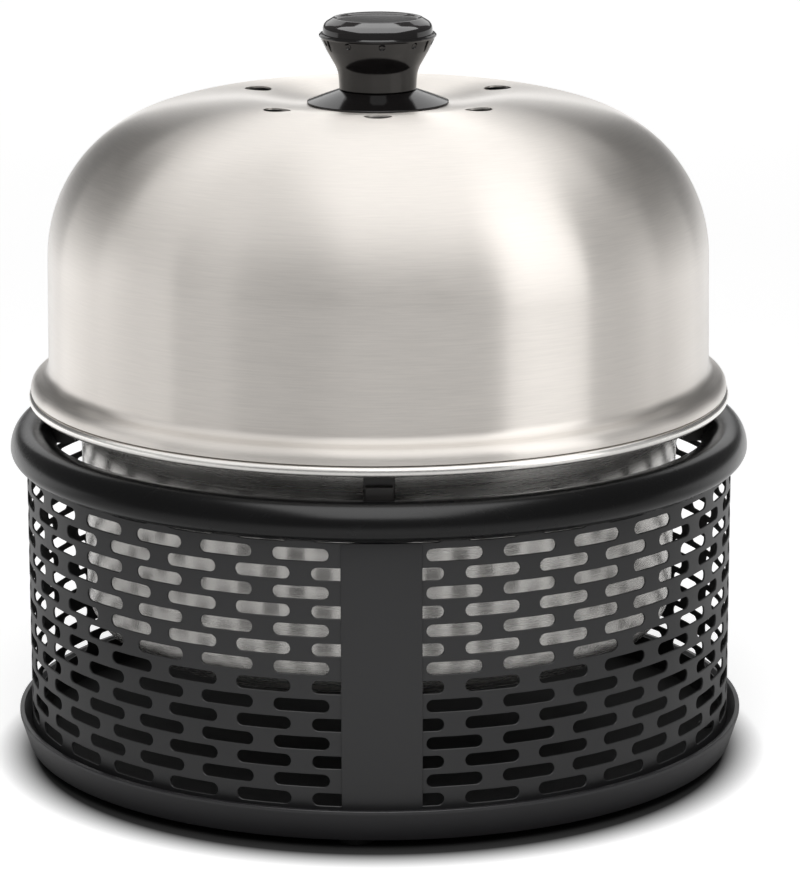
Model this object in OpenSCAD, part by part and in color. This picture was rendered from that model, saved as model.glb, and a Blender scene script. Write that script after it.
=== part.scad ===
// Portable charcoal grill: a perforated base, a polished bowl with a firebox, a wire charcoal
// basket, a domed cooking plate and a brushed lid with a knob.
// Millimetres, +Z up, origin on the floor at the centre, front strap towards -Y.

/* [Base tray] */
// Diameter of each rubber foot
foot_d = 16; // [12:1:20]
// Height of the feet under the tray
foot_h = 4; // [3:0.5:8]
// Number of feet
foot_count = 4; // [3:1:6]
// Distance from the shell's outside in to the foot centres
foot_inset = 10; // [10:1:30]
// Angle from the strap to the nearest foot
foot_turn = -4; // [-20:1:20]
// Diameter of the pin that holds a foot
foot_pin_d = 5; // [4:0.5:7]
// Thickness of the tray floor
tray_floor_t = 2.5; // [2:0.5:4]
// Thickness of the tray's outer wall
tray_wall_t = 1.5; // [1:0.1:3]
// Height of the tray from its underside to the top of its lip
tray_h = 14; // [12:0.2:24]
// Height of the flared part of the wall
tray_flare_h = 5; // [3:0.5:7]
// How far the lip flares out past the wall
tray_flare = 4; // [2:0.5:6]
// Thickness of the lip
tray_lip_t = 2; // [1.5:0.1:3]

/* [Perforated shell] */
// Outside diameter of the shell
shell_d = 316; // [300:1:340]
// Sheet thickness of the shell
shell_t = 0.8; // [0.6:0.1:1.2]
// Height of the shell from the tray floor up into the ring
shell_h = 140.8; // [120:0.2:180]
// Rows of slots
slot_rows = 15; // [3:1:15]
// Slots in a full row
slot_cols = 30; // [12:1:32]
// Length of a slot round the shell
slot_l = 24; // [12:0.5:26]
// Width of a slot
slot_w = 5.5; // [3:0.1:6]
// Distance from row to row
row_pitch = 8.15; // [7.5:0.025:8.4]
// Height of the lowest row above the shell's lower edge
slot_z0 = 14.5; // [13:0.5:20]
// Angle that the sheet's ends lap at the seam, which draws the slots there together
seam_lap = 0.6; // [0:0.1:1.5]

/* [Front strap] */
// Width of the strap over the seam
strap_w = 34; // [26:1:60]
// Thickness of the strap
strap_t = 1; // [0.6:0.1:1.5]
// Angle from the middle of the front to the middle of the strap
strap_turn = 0.3; // [-1:0.1:1]

/* [Top ring] */
// How far the ring bulges out past the shell
ring_out = 7; // [5:0.5:10]
// How far the ring reaches in from the shell's outside
ring_in = 13.5; // [11:0.5:18]
// How far in from the shell's outside the ring's crest lies
ring_crest_in = 1.5; // [0.5:0.1:3]
// Height of the ring's crest above its widest line
ring_up = 11; // [9:0.1:14]
// Depth of the ring below its widest line
ring_down = 6.2; // [5:0.1:8]
// Wall of the hollow ring
ring_wall = 2.2; // [1.6:0.1:3]

/* [Bowl lugs] */
// Number of lugs
lug_count = 4; // [3:1:8]
// Width of a lug
lug_w = 13.2; // [10:0.2:20]
// Width of the lug's front step
lug_step_w = 12; // [8:0.2:16]
// Height of the lug's front step above the ring's widest line
lug_step_h = 15; // [13:0.2:17]
// Height of the bowl's seat above the ring's widest line
lug_h = 19; // [18:0.2:26]
// Diameter of the screw in each lug
lug_screw_d = 3; // [2:0.5:4]

/* [Bowl] */
// Air gap from the shell's outside in to the bowl just under its flange
bowl_gap = 24.2; // [22:0.2:30]
// How much narrower the bowl is at its foot, in radius
bowl_taper = 2.4; // [0:0.1:6]
// Depth of the bowl from its seat to its underside
bowl_depth = 104; // [86:1:120]
// Radius of the bottom corner
bowl_corner_r = 20; // [8:0.5:24]
// Sheet thickness of the bowl
bowl_t = 0.8; // [0.6:0.1:1.2]
// Width of the flange from the bowl's outside to the bead's outside
flange_w = 22.7; // [21:0.1:26]
// Diameter of the bead's roll
bead_roll_d = 4.7; // [4:0.1:6]
// Height of the bead's middle above the bowl's seat
bead_rise = 3.85; // [3.6:0.05:7]
// Width of the flat seat round the bowl
flange_seat_w = 13.2; // [12.6:0.2:14]

/* [Firebox] */
// Gap between the basket and the firebox's inner wall
firebox_gap = 17.5; // [10:0.5:24]
// Width of the double wall, outside to outside
firebox_w = 9; // [6:0.5:14]
// Height of the wall above the bowl floor
firebox_h = 45; // [42:1:60]
// Diameter of its air holes
air_hole_d = 9; // [5:0.5:12]
// Number of air holes
air_hole_count = 12; // [6:1:16]

/* [Charcoal basket] */
// Diameter of the basket's hoops, to the middle of the wire
basket_d = 104; // [80:1:116]
// Height of the basket between the middles of its hoops
basket_h = 30; // [20:1:34]
// Thickness of the hoop, ear and handle wire
basket_wire_d = 3; // [2.5:0.1:4]
// Thickness of the upright and floor wires
cage_wire_d = 2.4; // [1.6:0.1:2.4]
// Number of upright wires
upright_count = 16; // [8:1:20]
// Distance between the floor wires
floor_pitch = 13; // [10:0.5:20]
// Thickness of the two ears that carry the handle
ear_t = 2; // [1.5:0.1:3]

/* [Cooking plate] */
// Sheet thickness of the plate
plate_t = 1.6; // [1.2:0.1:2.5]
// Rise of the plate from its rim to its centre
plate_dome = 9; // [4:0.5:14]
// Diameter of the drain holes
drain_d = 3; // [2:0.5:8]
// Number of drain holes
drain_count = 24; // [8:1:36]

/* [Lid] */
// Distance from the bowl's bead in to the lid's wall under the shoulder
lid_inset = 9.8; // [8:0.1:14]
// Taper of the wall: how much wider the wall is at its foot, in radius
lid_taper = 0.7; // [0:0.1:1.5]
// Height of the shoulder's start above the bowl's seat
lid_wall_h = 66.4; // [50:0.2:90]
// Radius of the shoulder
lid_shoulder_r = 67; // [40:1:70]
// Radius of the crown
lid_crown_r = 130; // [100:1:180]
// Angle at which the shoulder hands over to the crown
lid_hand_over = 72; // [60:1:76]
// Depth of the dish that the knob stands in
lid_dish = 3; // [1:0.5:5]
// Sheet thickness of the lid
lid_t = 0.8; // [0.6:0.1:1.2]
// Height of the flared rim
lid_rim_h = 8.8; // [7:0.2:12]
// Height of the turned-down edge of the rim
lid_edge_h = 3.6; // [2.6:0.2:5]
// Distance from the bead's outside in to the rim's edge
lid_edge_inset = 1.1; // [0.6:0.1:2]
// Diameter of a vent hole
vent_d = 12; // [6:0.5:14]
// Radius of the circle of vent holes
vent_r = 58.5; // [50:0.5:70]

/* [Knob] */
// Diameter of the heat skirt
skirt_d = 62.6; // [54:0.2:66]
// Height of the heat skirt
skirt_h = 5.9; // [5:0.1:9]
// Thickness of the skirt's edge
skirt_edge_t = 0.9; // [0.6:0.1:1.5]
// Diameter of the knob's waist
waist_d = 34; // [30:0.5:40]
// Height of the waist
waist_h = 8.6; // [6:0.2:11]
// Diameter of the knob's rim
knob_d = 51.8; // [46:0.2:60]
// Height of the knob without its cap
knob_h = 25; // [22:0.5:32]
// Height of the grip band under the rim
grip_h = 7.2; // [6:0.2:9]
// How much smaller the grip band is than the rim, in radius
grip_inset = 1.2; // [0.8:0.1:2]
// Height of the cap
cap_h = 7.2; // [5:0.2:10]
// Diameter of the recess in the top of the cap
cap_recess_d = 36.6; // [24:0.2:38]
// Number of grip dimples
dimple_count = 10; // [6:1:14]
// Diameter of a dimple
dimple_d = 2.8; // [2:0.2:4]
// Depth of a dimple
dimple_deep = 0.8; // [0.4:0.1:1.2]
// Angle from the front to the first dimple
dimple_turn = 4.4; // [0:0.2:36]
// Diameter of the knob screw
knob_screw_d = 5; // [4:0.5:6]

/* [Fits] */
// Gap between sheet pieces that slide into each other
fit = 0.2; // [0.1:0.05:0.3]
// Gap at rest between curved faces of pieces that lift apart
rest_gap = 0.3; // [0.2:0.05:0.5]
// Running gap round the handle's pins, in radius
pin_gap = 0.1; // [0.05:0.01:0.15]

/* [Hidden] */
$fn = 96;

// Heights from the floor up
tray_z = foot_h;
tray_top = tray_z + tray_h;
shell_z = tray_z + tray_floor_t;
shell_top = shell_z + shell_h;

// Tray radii
shell_r = shell_d / 2;
channel_in = shell_r - shell_t - fit;
channel_out = shell_r + fit;
tray_r = channel_out + tray_wall_t;
lip_r = tray_r + tray_flare;
upstand_t = 2;
upstand_h = 6.5;
flare_z = tray_top - tray_flare_h;
foot_r = shell_r - foot_inset;

// Strap: it covers the seam between the tray's flare and the ring
strap_in = shell_r + fit / 2;
strap_out = strap_in + strap_t;
strap_a = 2 * asin(strap_w / 2 / strap_out);
inner_flare_z = flare_z + 1;
inner_lip_r = lip_r - tray_lip_t;
strap_z = inner_flare_z + (tray_top - inner_flare_z)
    * (strap_out + fit - channel_out) / (inner_lip_r - channel_out);

// Ring: an egg-shaped section whose crown closes over the shell's top edge
ring_mid_r = shell_r - ring_crest_in;
ring_a_out = ring_out + ring_crest_in;
ring_a_in = ring_in - ring_crest_in;
crown_rise = (ring_up - ring_wall) * sqrt(1 - pow(ring_crest_in / (ring_a_out - ring_wall), 2));
ring_z = shell_top + fit - crown_rise;
ring_foot_z = ring_z - ring_down;
strap_top = ring_foot_z - fit / 2;

// Lugs and the bowl's seat
seat_z = ring_z + lug_h;
bowl_r = shell_r - bowl_gap;
flange_bend = 2;
lug_in = bowl_r + flange_bend + 0.5;
pillar_out = bowl_r + flange_seat_w - 1;
lug_step = 4;
lug_out = pillar_out + lug_step;
lug_screw_r = lug_out - lug_screw_d / 2 - 1;
lug_head_r = lug_screw_d / 2 + 1;
lug_screw_head_z = ring_z - ring_down / 2;

// Bowl
bowl_z = seat_z - bowl_depth;
bowl_floor_z = bowl_z + bowl_t;
bead_out = bowl_r + flange_w;
bead_r = bead_out - bead_roll_d / 2;
bead_z = seat_z + bead_rise;
flange_r = bowl_r + flange_seat_w;
plate_z = seat_z + bowl_t;

// Lid rim: it drops inside the bead and its flare covers the bead's top
lip_out = bead_r - bead_roll_d / 2 - rest_gap;
flange_slope = (bead_z - 1.5 - seat_z) / (bead_r - 1 - flange_r);
lip_z = seat_z + (lip_out - flange_r) * flange_slope
    + bowl_t * sqrt(1 + pow(flange_slope, 2)) + rest_gap;
rim_z = bead_z + bead_roll_d / 2 + rest_gap;
rim_top = rim_z + lid_rim_h;
rim_r = bead_out - lid_edge_inset;
rim_edge_z = rim_z + lid_edge_h;
lid_r = bead_out - lid_inset;
lid_foot_r = lid_r + lid_taper;
shoulder_z = seat_z + lid_wall_h;
shoulder_c = [lid_r - lid_shoulder_r, shoulder_z];
crown_c = shoulder_c + (lid_shoulder_r - lid_crown_r) * [cos(lid_hand_over), sin(lid_hand_over)];
crest = crown_c + [0, lid_crown_r];
dish_r = skirt_d / 2 + 1.5;
knob_z = crest.y - lid_dish;
vent_angles = [0, 48, 114, 180, 246, 312];
vent_reach = 10;

// Plate
plate_r = flange_r - 1.2;
drain_r = bowl_r - bowl_t - drain_d / 2 - 5;
plate_dome_r = drain_r - drain_d / 2 - 1.5;

// Firebox and basket
basket_r = basket_d / 2;
wire_r = basket_wire_d / 2;
firebox_in_r = basket_r + wire_r + firebox_gap;
firebox_r = firebox_in_r + firebox_w;
hoop_z = bowl_floor_z + rest_gap + wire_r;
rim_hoop_z = hoop_z + basket_h;
bail_z = rim_hoop_z + basket_wire_d + rest_gap;
ear_x = basket_r - wire_r - ear_t / 2 + 0.3;
ear_w = 4 * basket_wire_d;
bail_bend = basket_wire_d;
bail_r = ear_x + ear_t / 2 + 2 * pin_gap + bail_bend;

// Knob
screw_r = knob_screw_d / 2;
screw_hole_r = screw_r + fit;
body_z = knob_z + skirt_h;
cap_z = body_z + knob_h;
insert_r = knob_screw_d * 0.8;
insert_h = 14;
washer_r = 11;
washer_t = 1.2;
lid_under_z = knob_z - lid_t;
plug_r = waist_d / 2 - 5;
plug_h = 4;
grip_r = knob_d / 2 - grip_inset;
grip_taper = 0.8;
dimple_r = (pow(dimple_d / 2, 2) + pow(dimple_deep, 2)) / (2 * dimple_deep);
dimple_z = cap_z - grip_h / 2 + 0.3;

// Points of an arc about c, from angle a0 to a1 in n steps; first = 1 leaves the start out
function arc(c, r, a0, a1, n, first = 0) =
    [for (i = [first:n]) let (a = a0 + (a1 - a0) * i / n) c + r * [cos(a), sin(a)]];

// Closed egg section about c: half-widths outwards and inwards, then up and down
function egg(c, a_out, a_in, up, down, n) =
    [for (i = [0:n - 1]) let (t = 360 * i / n)
        c + [(cos(t) > 0 ? a_out : a_in) * cos(t), (sin(t) > 0 ? up : down) * sin(t)]];

function unit(v) = v / norm(v);
function xy(p) = [p[0], p[1]];

// The corner at q between p and s, rounded with radius f in n steps
function corner(p, q, s, f, n) =
    let (u = unit(p - q), w = unit(s - q), half = acos(u * w) / 2,
        c = q + unit(u + w) * f / sin(half),
        a = q + u * f / tan(half) - c, b = q + w * f / tan(half) - c,
        a0 = atan2(a.y, a.x), turn = (atan2(b.y, b.x) - a0 + 540) % 360 - 180)
    arc(c, f, a0, a0 + turn, n);

// A path of [r, z] or [r, z, fillet] points with its fillets filled in
function rounded(path, n = 6) =
    [for (i = [0:len(path) - 1])
        for (p = len(path[i]) < 3 ? [path[i]]
            : corner(xy(path[i - 1]), xy(path[i]), xy(path[i + 1]), path[i][2], n)) p];

// A path moved sideways by d, to the left of its direction
function beside(path, d) =
    let (last = len(path) - 1)
    [for (i = [0:last])
        let (u = unit(path[max(i, 1)] - path[max(i, 1) - 1]),
            w = unit(path[min(i, last - 1) + 1] - path[min(i, last - 1)]))
        path[i] + d * [-u.y - w.y, u.x + w.x] / (1 + u * w)];

function backwards(list) = [for (i = [len(list) - 1:-1:0]) list[i]];

// Turned piece from a closed section of [r, z] points
module turned(section) {
    rotate_extrude($fn = 128) polygon(section);
}

// Turned sheet of thickness t to the left of a path
module turned_sheet(path, t) {
    turned(concat(path, backwards(beside(path, t))));
}

// Copies of the children round the axis, the first one at the front
module around(count, offset = 0) {
    for (k = [0:count - 1]) rotate([0, 0, offset + 360 * k / count]) children();
}

module slot_2d(l, w) {
    square([l - w, w], center = true);
    for (s = [-1, 1]) translate([s * (l - w) / 2, 0]) circle(d = w);
}

// Round bar from p to q
module bar(p, q, d) {
    v = q - p;
    translate(p) rotate([0, acos(v.z / norm(v)), atan2(v.y, v.x)]) cylinder(h = norm(v), d = d);
}

// Ring of round wire about the axis
module hoop(r, z, d) {
    translate([0, 0, z]) rotate_extrude($fn = 128) translate([r, 0]) circle(d = d);
}

module base_tray() {
    section = rounded([
        [0, tray_z], [tray_r, tray_z, 3], [tray_r, flare_z, 6], [lip_r, tray_top - 1.2, 0.8],
        [lip_r, tray_top, 0.6], [inner_lip_r, tray_top, 0.6], [channel_out, inner_flare_z],
        [channel_out, shell_z], [channel_in, shell_z], [channel_in, shell_z + upstand_h],
        [channel_in - upstand_t, shell_z + upstand_h], [channel_in - upstand_t, shell_z],
        [0, shell_z]], 5);
    color("dimgray") difference() {
        turned(section);
        around(foot_count, foot_turn) translate([0, -foot_r, tray_z - 1])
            cylinder(h = tray_floor_t + 2, d = foot_pin_d + fit);
    }
}

module rubber_feet() {
    r = foot_d / 2;
    section = rounded([
        [foot_pin_d / 2 + fit / 2, 1.6], [foot_pin_d / 2 + 2.2, 1.6], [foot_pin_d / 2 + 2.2, 0],
        [r - 0.4, 0, 0.8], [r, foot_h], [foot_pin_d / 2 + fit / 2, foot_h]], 4);
    color("black") around(foot_count, foot_turn) translate([0, -foot_r, 0]) turned(section);
}

module foot_pins() {
    r = foot_pin_d / 2;
    color("gray") around(foot_count, foot_turn) translate([0, -foot_r, 0])
        turned([[0, 0.5], [r + 2, 0.5], [r + 2, 1.6], [r, 1.6], [r, shell_z + fit],
            [r + 1, shell_z + fit], [r, shell_z + 2], [0, shell_z + 2]]);
}

// One column's slots; rows with the given parity, as radial cutters
module slot_cutters(odd) {
    for (i = [0:slot_rows - 1]) if (i % 2 == odd)
        translate([0, -shell_r, shell_z + slot_z0 + i * row_pitch])
            rotate([90, 0, 0]) linear_extrude(height = 8 * shell_t, center = true) slot_2d(slot_l, slot_w);
}

module perforated_shell() {
    step = (360 + seam_lap) / slot_cols;
    color([0.2, 0.2, 0.21]) difference() {
        translate([0, 0, shell_z]) difference() {
            cylinder(h = shell_h, r = shell_r, $fn = 180);
            translate([0, 0, -1]) cylinder(h = shell_h + 2, r = shell_r - shell_t, $fn = 180);
        }
        // the seam land behind the strap stays plain where the strap would hide a whole slot
        for (k = [0:slot_cols - 1]) {
            rotate([0, 0, (k + 0.5) * step - seam_lap]) slot_cutters(0);
            if (k > 0) rotate([0, 0, k * step - seam_lap]) slot_cutters(1);
        }
    }
}

module seam_strap() {
    color([0.3, 0.3, 0.31]) rotate([0, 0, 270 + strap_turn - strap_a / 2])
        rotate_extrude(angle = strap_a, $fn = 180)
            translate([strap_in, strap_z]) square([strap_t, strap_top - strap_z]);
}

// The ring's outer skin as a solid, also used to seat the lugs on it
module ring_solid() {
    turned(egg([ring_mid_r, ring_z], ring_a_out, ring_a_in, ring_up, ring_down, 48));
}

module top_ring() {
    color([0.08, 0.08, 0.08]) difference() {
        ring_solid();
        turned(egg([ring_mid_r, ring_z], ring_a_out - ring_wall, ring_a_in - ring_wall,
            ring_up - ring_wall, ring_down - ring_wall, 48));
        // slot for the shell's top edge
        turned([[channel_in, ring_foot_z - 1], [channel_out, ring_foot_z - 1], [channel_out, ring_z],
            [channel_in, ring_z]]);
        around(lug_count) translate([0, -lug_screw_r, ring_foot_z - 1]) {
            cylinder(h = ring_up + ring_down + 2, d = lug_screw_d + fit);
            cylinder(h = lug_screw_head_z - ring_foot_z + 1, r = lug_head_r + fit);
        }
    }
}

module bowl_lugs() {
    color([0.1, 0.1, 0.1]) difference() {
        around(lug_count) {
            translate([-lug_step_w / 2, -lug_out, ring_z]) cube([lug_step_w, lug_out - lug_in, lug_step_h]);
            translate([-lug_w / 2, -pillar_out, ring_z]) cube([lug_w, pillar_out - lug_in, lug_h]);
        }
        ring_solid();
        around(lug_count) translate([0, -lug_screw_r, ring_z])
            cylinder(h = lug_step_h - 1.5, d = lug_screw_d + fit);
    }
}

module lug_screws() {
    r = lug_screw_d / 2;
    tip_z = ring_z + lug_step_h - 2;
    color("silver") around(lug_count) translate([0, -lug_screw_r, 0])
        turned(rounded([[0, lug_screw_head_z - 2], [lug_head_r, lug_screw_head_z - 2, 1],
            [lug_head_r, lug_screw_head_z], [r, lug_screw_head_z], [r, tip_z - 1], [r - 0.6, tip_z], [0, tip_z]]));
}

module inner_bowl() {
    path = rounded([
        [0, bowl_z], [bowl_r - bowl_taper, bowl_z, bowl_corner_r],
        [bowl_r, seat_z, flange_bend], [flange_r, seat_z, 1.5], [bead_r - 1, bead_z - 1.5]], 8);
    color("gainsboro") rotate_extrude($fn = 128) {
        polygon(concat(path, backwards(beside(path, bowl_t))));
        translate([bead_r, bead_z]) circle(d = bead_roll_d);
    }
}

module firebox_wall() {
    foot_flange = 5;
    top_z = bowl_floor_z + firebox_h;
    path = rounded([
        [firebox_in_r, bowl_floor_z + fit / 2], [firebox_in_r + 1, top_z, 2], [firebox_r - 1, top_z, 2],
        [firebox_r, bowl_floor_z + bowl_t, 1.5], [firebox_r + foot_flange, bowl_floor_z + bowl_t]], 6);
    color("silver") difference() {
        turned_sheet(path, -bowl_t);
        around(air_hole_count) translate([0, 0, bowl_floor_z + 0.72 * firebox_h])
            rotate([90, 0, 0]) cylinder(h = firebox_r + 5, d = air_hole_d);
    }
}

module basket_cage() {
    n = floor((basket_r - 6) / floor_pitch);
    color("gray") {
        difference() {
            union() {
                hoop(basket_r, hoop_z, basket_wire_d);
                hoop(basket_r, rim_hoop_z, basket_wire_d);
                around(upright_count, 180 / upright_count)
                    bar([0, -basket_r, hoop_z], [0, -basket_r, rim_hoop_z], cage_wire_d);
                for (i = [-n:n]) {
                    half = sqrt(pow(basket_r, 2) - pow(i * floor_pitch, 2));
                    bar([-half, i * floor_pitch, hoop_z], [half, i * floor_pitch, hoop_z], cage_wire_d);
                }
                for (s = [-1, 1]) translate([s * ear_x, 0, 0]) rotate([0, 90, 0]) {
                    translate([-bail_z, 0, -ear_t / 2]) cylinder(h = ear_t, d = ear_w);
                    translate([-bail_z, -ear_w / 2, -ear_t / 2]) cube([bail_z - rim_hoop_z + wire_r, ear_w, ear_t]);
                }
            }
            for (s = [-1, 1]) translate([s * ear_x, 0, bail_z]) rotate([0, 90, 0])
                cylinder(h = 2 * ear_t, r = wire_r + pin_gap, center = true);
        }
    }
}

module basket_bail() {
    pin_in = ear_x - ear_t / 2 - 2;
    color("gray") translate([0, bail_bend, bail_z]) {
        rotate_extrude(angle = 180, $fn = 128) translate([bail_r, 0]) circle(r = wire_r);
        for (s = [0, 1]) mirror([s, 0, 0]) {
            translate([bail_r - bail_bend, 0, 0]) rotate([0, 0, -90])
                rotate_extrude(angle = 90, $fn = 64) translate([bail_bend, 0]) circle(r = wire_r);
            translate([pin_in, -bail_bend, 0]) rotate([0, 90, 0])
                cylinder(h = bail_r - bail_bend - pin_in, r = wire_r);
        }
    }
}

module grill_plate() {
    steps = 14;
    dome = [for (i = [0:steps]) let (t = i / steps)
        [plate_dome_r * t, plate_z + plate_dome * pow(cos(90 * t), 2)]];
    color([0.16, 0.16, 0.17]) difference() {
        turned_sheet(concat(dome, [[plate_r, plate_z]]), plate_t);
        around(drain_count) translate([0, -drain_r, plate_z - 1])
            cylinder(h = plate_dome + plate_t + 2, d = drain_d);
    }
}

module lid_shell() {
    steps = 10;
    rim_slope = (rim_top - rim_edge_z) / (rim_r - lid_foot_r);
    lip_in = lip_out - lid_t;
    dish = [for (i = [1:steps]) let (t = i / steps)
        [crest.x + (dish_r - crest.x) * t, crest.y - lid_dish * pow(sin(90 * t), 2)]];
    dome = concat(
        [[lid_foot_r, rim_top]],
        arc(shoulder_c, lid_shoulder_r, 0, lid_hand_over, 16),
        arc(crown_c, lid_crown_r, lid_hand_over, 90, 6, 1),
        dish, [[screw_hole_r, knob_z]]);
    inside = backwards(beside(dome, lid_t));
    outside_rim = rounded([
        [lip_out, lip_z], [lip_out, rim_z], [rim_r, rim_z, 0.4], [rim_r, rim_edge_z, 2.4],
        [lid_foot_r, rim_top, 5], [lid_r, shoulder_z]], 5);
    inside_rim = [[lip_in, rim_top - (lip_in - lid_foot_r) * rim_slope - 1.2 * lid_t], [lip_in, lip_z]];
    color("lightgray") difference() {
        turned(concat(outside_rim, [for (i = [2:len(dome) - 1]) dome[i]], inside, inside_rim));
        for (a = vent_angles) rotate([0, 0, a]) translate([0, -vent_r, knob_z - vent_reach])
            cylinder(h = 2 * vent_reach + lid_dish, d = vent_d, $fn = 48);
    }
}

module knob_skirt() {
    top_z = knob_z + skirt_h;
    r = skirt_d / 2;
    top_r = waist_d / 2 + 0.2;
    color([0.07, 0.07, 0.07]) turned([
        [screw_hole_r, knob_z], [8, knob_z], [8, top_z - 1.5], [top_r - 1, top_z - 1.5],
        [r - 1.6, knob_z], [r, knob_z], [r, knob_z + skirt_edge_t], [top_r, top_z], [screw_hole_r, top_z]]);
}

module knob_body() {
    waist = waist_d / 2;
    rim = knob_d / 2;
    section = rounded([
        [insert_r + fit / 2, body_z], [waist - 0.6, body_z], [waist, body_z + 0.6],
        [waist + 0.5, body_z + waist_h, 14], [grip_r - grip_taper, cap_z - grip_h, 7],
        [grip_r, cap_z - 2.2], [rim, cap_z - 1.2], [rim, cap_z - 0.6], [rim - 0.6, cap_z], [plug_r + fit / 2, cap_z],
        [plug_r + fit / 2, cap_z - plug_h - fit], [0, cap_z - plug_h - fit],
        [0, body_z + insert_h], [insert_r + fit / 2, body_z + insert_h]], 6);
    color([0.06, 0.06, 0.06]) difference() {
        turned(section);
        around(dimple_count, dimple_turn)
            translate([0, dimple_deep - dimple_r - grip_r + grip_taper / 4, dimple_z]) sphere(r = dimple_r, $fn = 32);
    }
}

module knob_cap() {
    rim = knob_d / 2 - 1.6;
    recess = cap_recess_d / 2;
    top_z = cap_z + cap_h;
    color([0.05, 0.05, 0.05]) turned(rounded([
        [0, cap_z - plug_h], [plug_r, cap_z - plug_h], [plug_r, cap_z], [rim, cap_z],
        [rim - 0.3, cap_z + 0.6 * cap_h, 4], [recess + 1, top_z, 1.2], [recess, top_z - 0.5],
        [recess - 0.4, top_z - 1], [0, top_z - 1]], 6));
}

module knob_insert() {
    color("goldenrod") turned([[screw_r, body_z], [insert_r, body_z], [insert_r, body_z + insert_h - 1],
        [screw_r, body_z + insert_h - 1]]);
}

module knob_screw() {
    head_z = lid_under_z - washer_t;
    tip_z = body_z + insert_h - 2;
    r = screw_r - 0.05;
    color("silver") turned(rounded([[0, head_z - 3], [2 * r, head_z - 3, 1.5], [2 * r, head_z],
        [r, head_z], [r, tip_z - 1], [r - 0.8, tip_z], [0, tip_z]]));
}

module lid_washer() {
    color("silver") turned([[screw_hole_r, lid_under_z - washer_t], [washer_r, lid_under_z - washer_t],
        [washer_r, lid_under_z], [screw_hole_r, lid_under_z]]);
}

base_tray();
rubber_feet();
foot_pins();
perforated_shell();
seam_strap();
top_ring();
bowl_lugs();
lug_screws();
inner_bowl();
firebox_wall();
basket_cage();
basket_bail();
grill_plate();
lid_shell();
knob_skirt();
knob_body();
knob_cap();
knob_insert();
knob_screw();
lid_washer();
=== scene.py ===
"""Visible pieces, finishes and studio of a portable charcoal grill.

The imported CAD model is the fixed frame. Each operator makes one piece, or one group of like
pieces, in metres and in that frame, gives it its finish and hides the CAD node it stands for.
"""

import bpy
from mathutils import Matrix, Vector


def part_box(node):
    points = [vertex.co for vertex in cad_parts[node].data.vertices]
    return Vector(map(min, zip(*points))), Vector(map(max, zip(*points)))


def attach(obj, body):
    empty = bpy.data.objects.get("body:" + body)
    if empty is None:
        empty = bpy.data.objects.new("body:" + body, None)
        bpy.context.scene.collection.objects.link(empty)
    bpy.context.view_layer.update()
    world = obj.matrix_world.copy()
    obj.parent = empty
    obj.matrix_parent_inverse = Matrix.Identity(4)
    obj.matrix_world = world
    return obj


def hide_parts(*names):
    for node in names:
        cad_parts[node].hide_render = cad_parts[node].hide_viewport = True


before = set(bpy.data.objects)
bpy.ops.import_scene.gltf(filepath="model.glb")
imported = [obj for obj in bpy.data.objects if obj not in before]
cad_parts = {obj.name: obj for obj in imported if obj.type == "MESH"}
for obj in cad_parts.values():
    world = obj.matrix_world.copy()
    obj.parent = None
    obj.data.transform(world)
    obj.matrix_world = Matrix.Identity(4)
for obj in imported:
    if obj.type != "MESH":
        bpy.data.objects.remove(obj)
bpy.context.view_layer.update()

import math

import bmesh
import bpy
from bpy.props import FloatProperty, FloatVectorProperty, IntProperty, PointerProperty
from mathutils import Matrix, Vector

bl_info = {
    "name": "Portable charcoal grill",
    "version": (1, 0, 0),
    "blender": (4, 5, 0),
    "location": "View3D > Sidebar > Grill",
    "description": "Makes the visible pieces, finishes and studio of a portable charcoal grill",
    "category": "Add Mesh",
}

MM = 0.001
PLAY = 0.2 * MM  # gap between pieces that slip together
WELD = 0.02 * MM  # corners closer than this are one


def low(node):
    """Lowest height of a CAD node."""
    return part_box(node)[0].z


def high(node):
    """Highest height of a CAD node."""
    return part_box(node)[1].z


def reach(node):
    """Distance from the axis to a turned CAD node's outside."""
    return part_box(node)[1].x


# Properties -----------------------------------------------------------------------------------


def length(name, text, default):
    """A size in metres."""
    return FloatProperty(name=name, description=text, default=default, min=0, precision=5, unit="LENGTH")


def number(name, text, default):
    """A count of like pieces."""
    return IntProperty(name=name, description=text, default=default, min=1)


def angle(name, text, degrees):
    """An angle, shown in degrees."""
    return FloatProperty(name=name, description=text, default=math.radians(degrees), subtype="ANGLE")


def share(name, text, default):
    """A value from 0 to 1."""
    return FloatProperty(name=name, description=text, default=default, min=0, max=1, subtype="FACTOR")


def tint(name, text, default):
    """A linear colour."""
    return FloatVectorProperty(name=name, description=text, default=default, min=0, max=1, subtype="COLOR")


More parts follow.
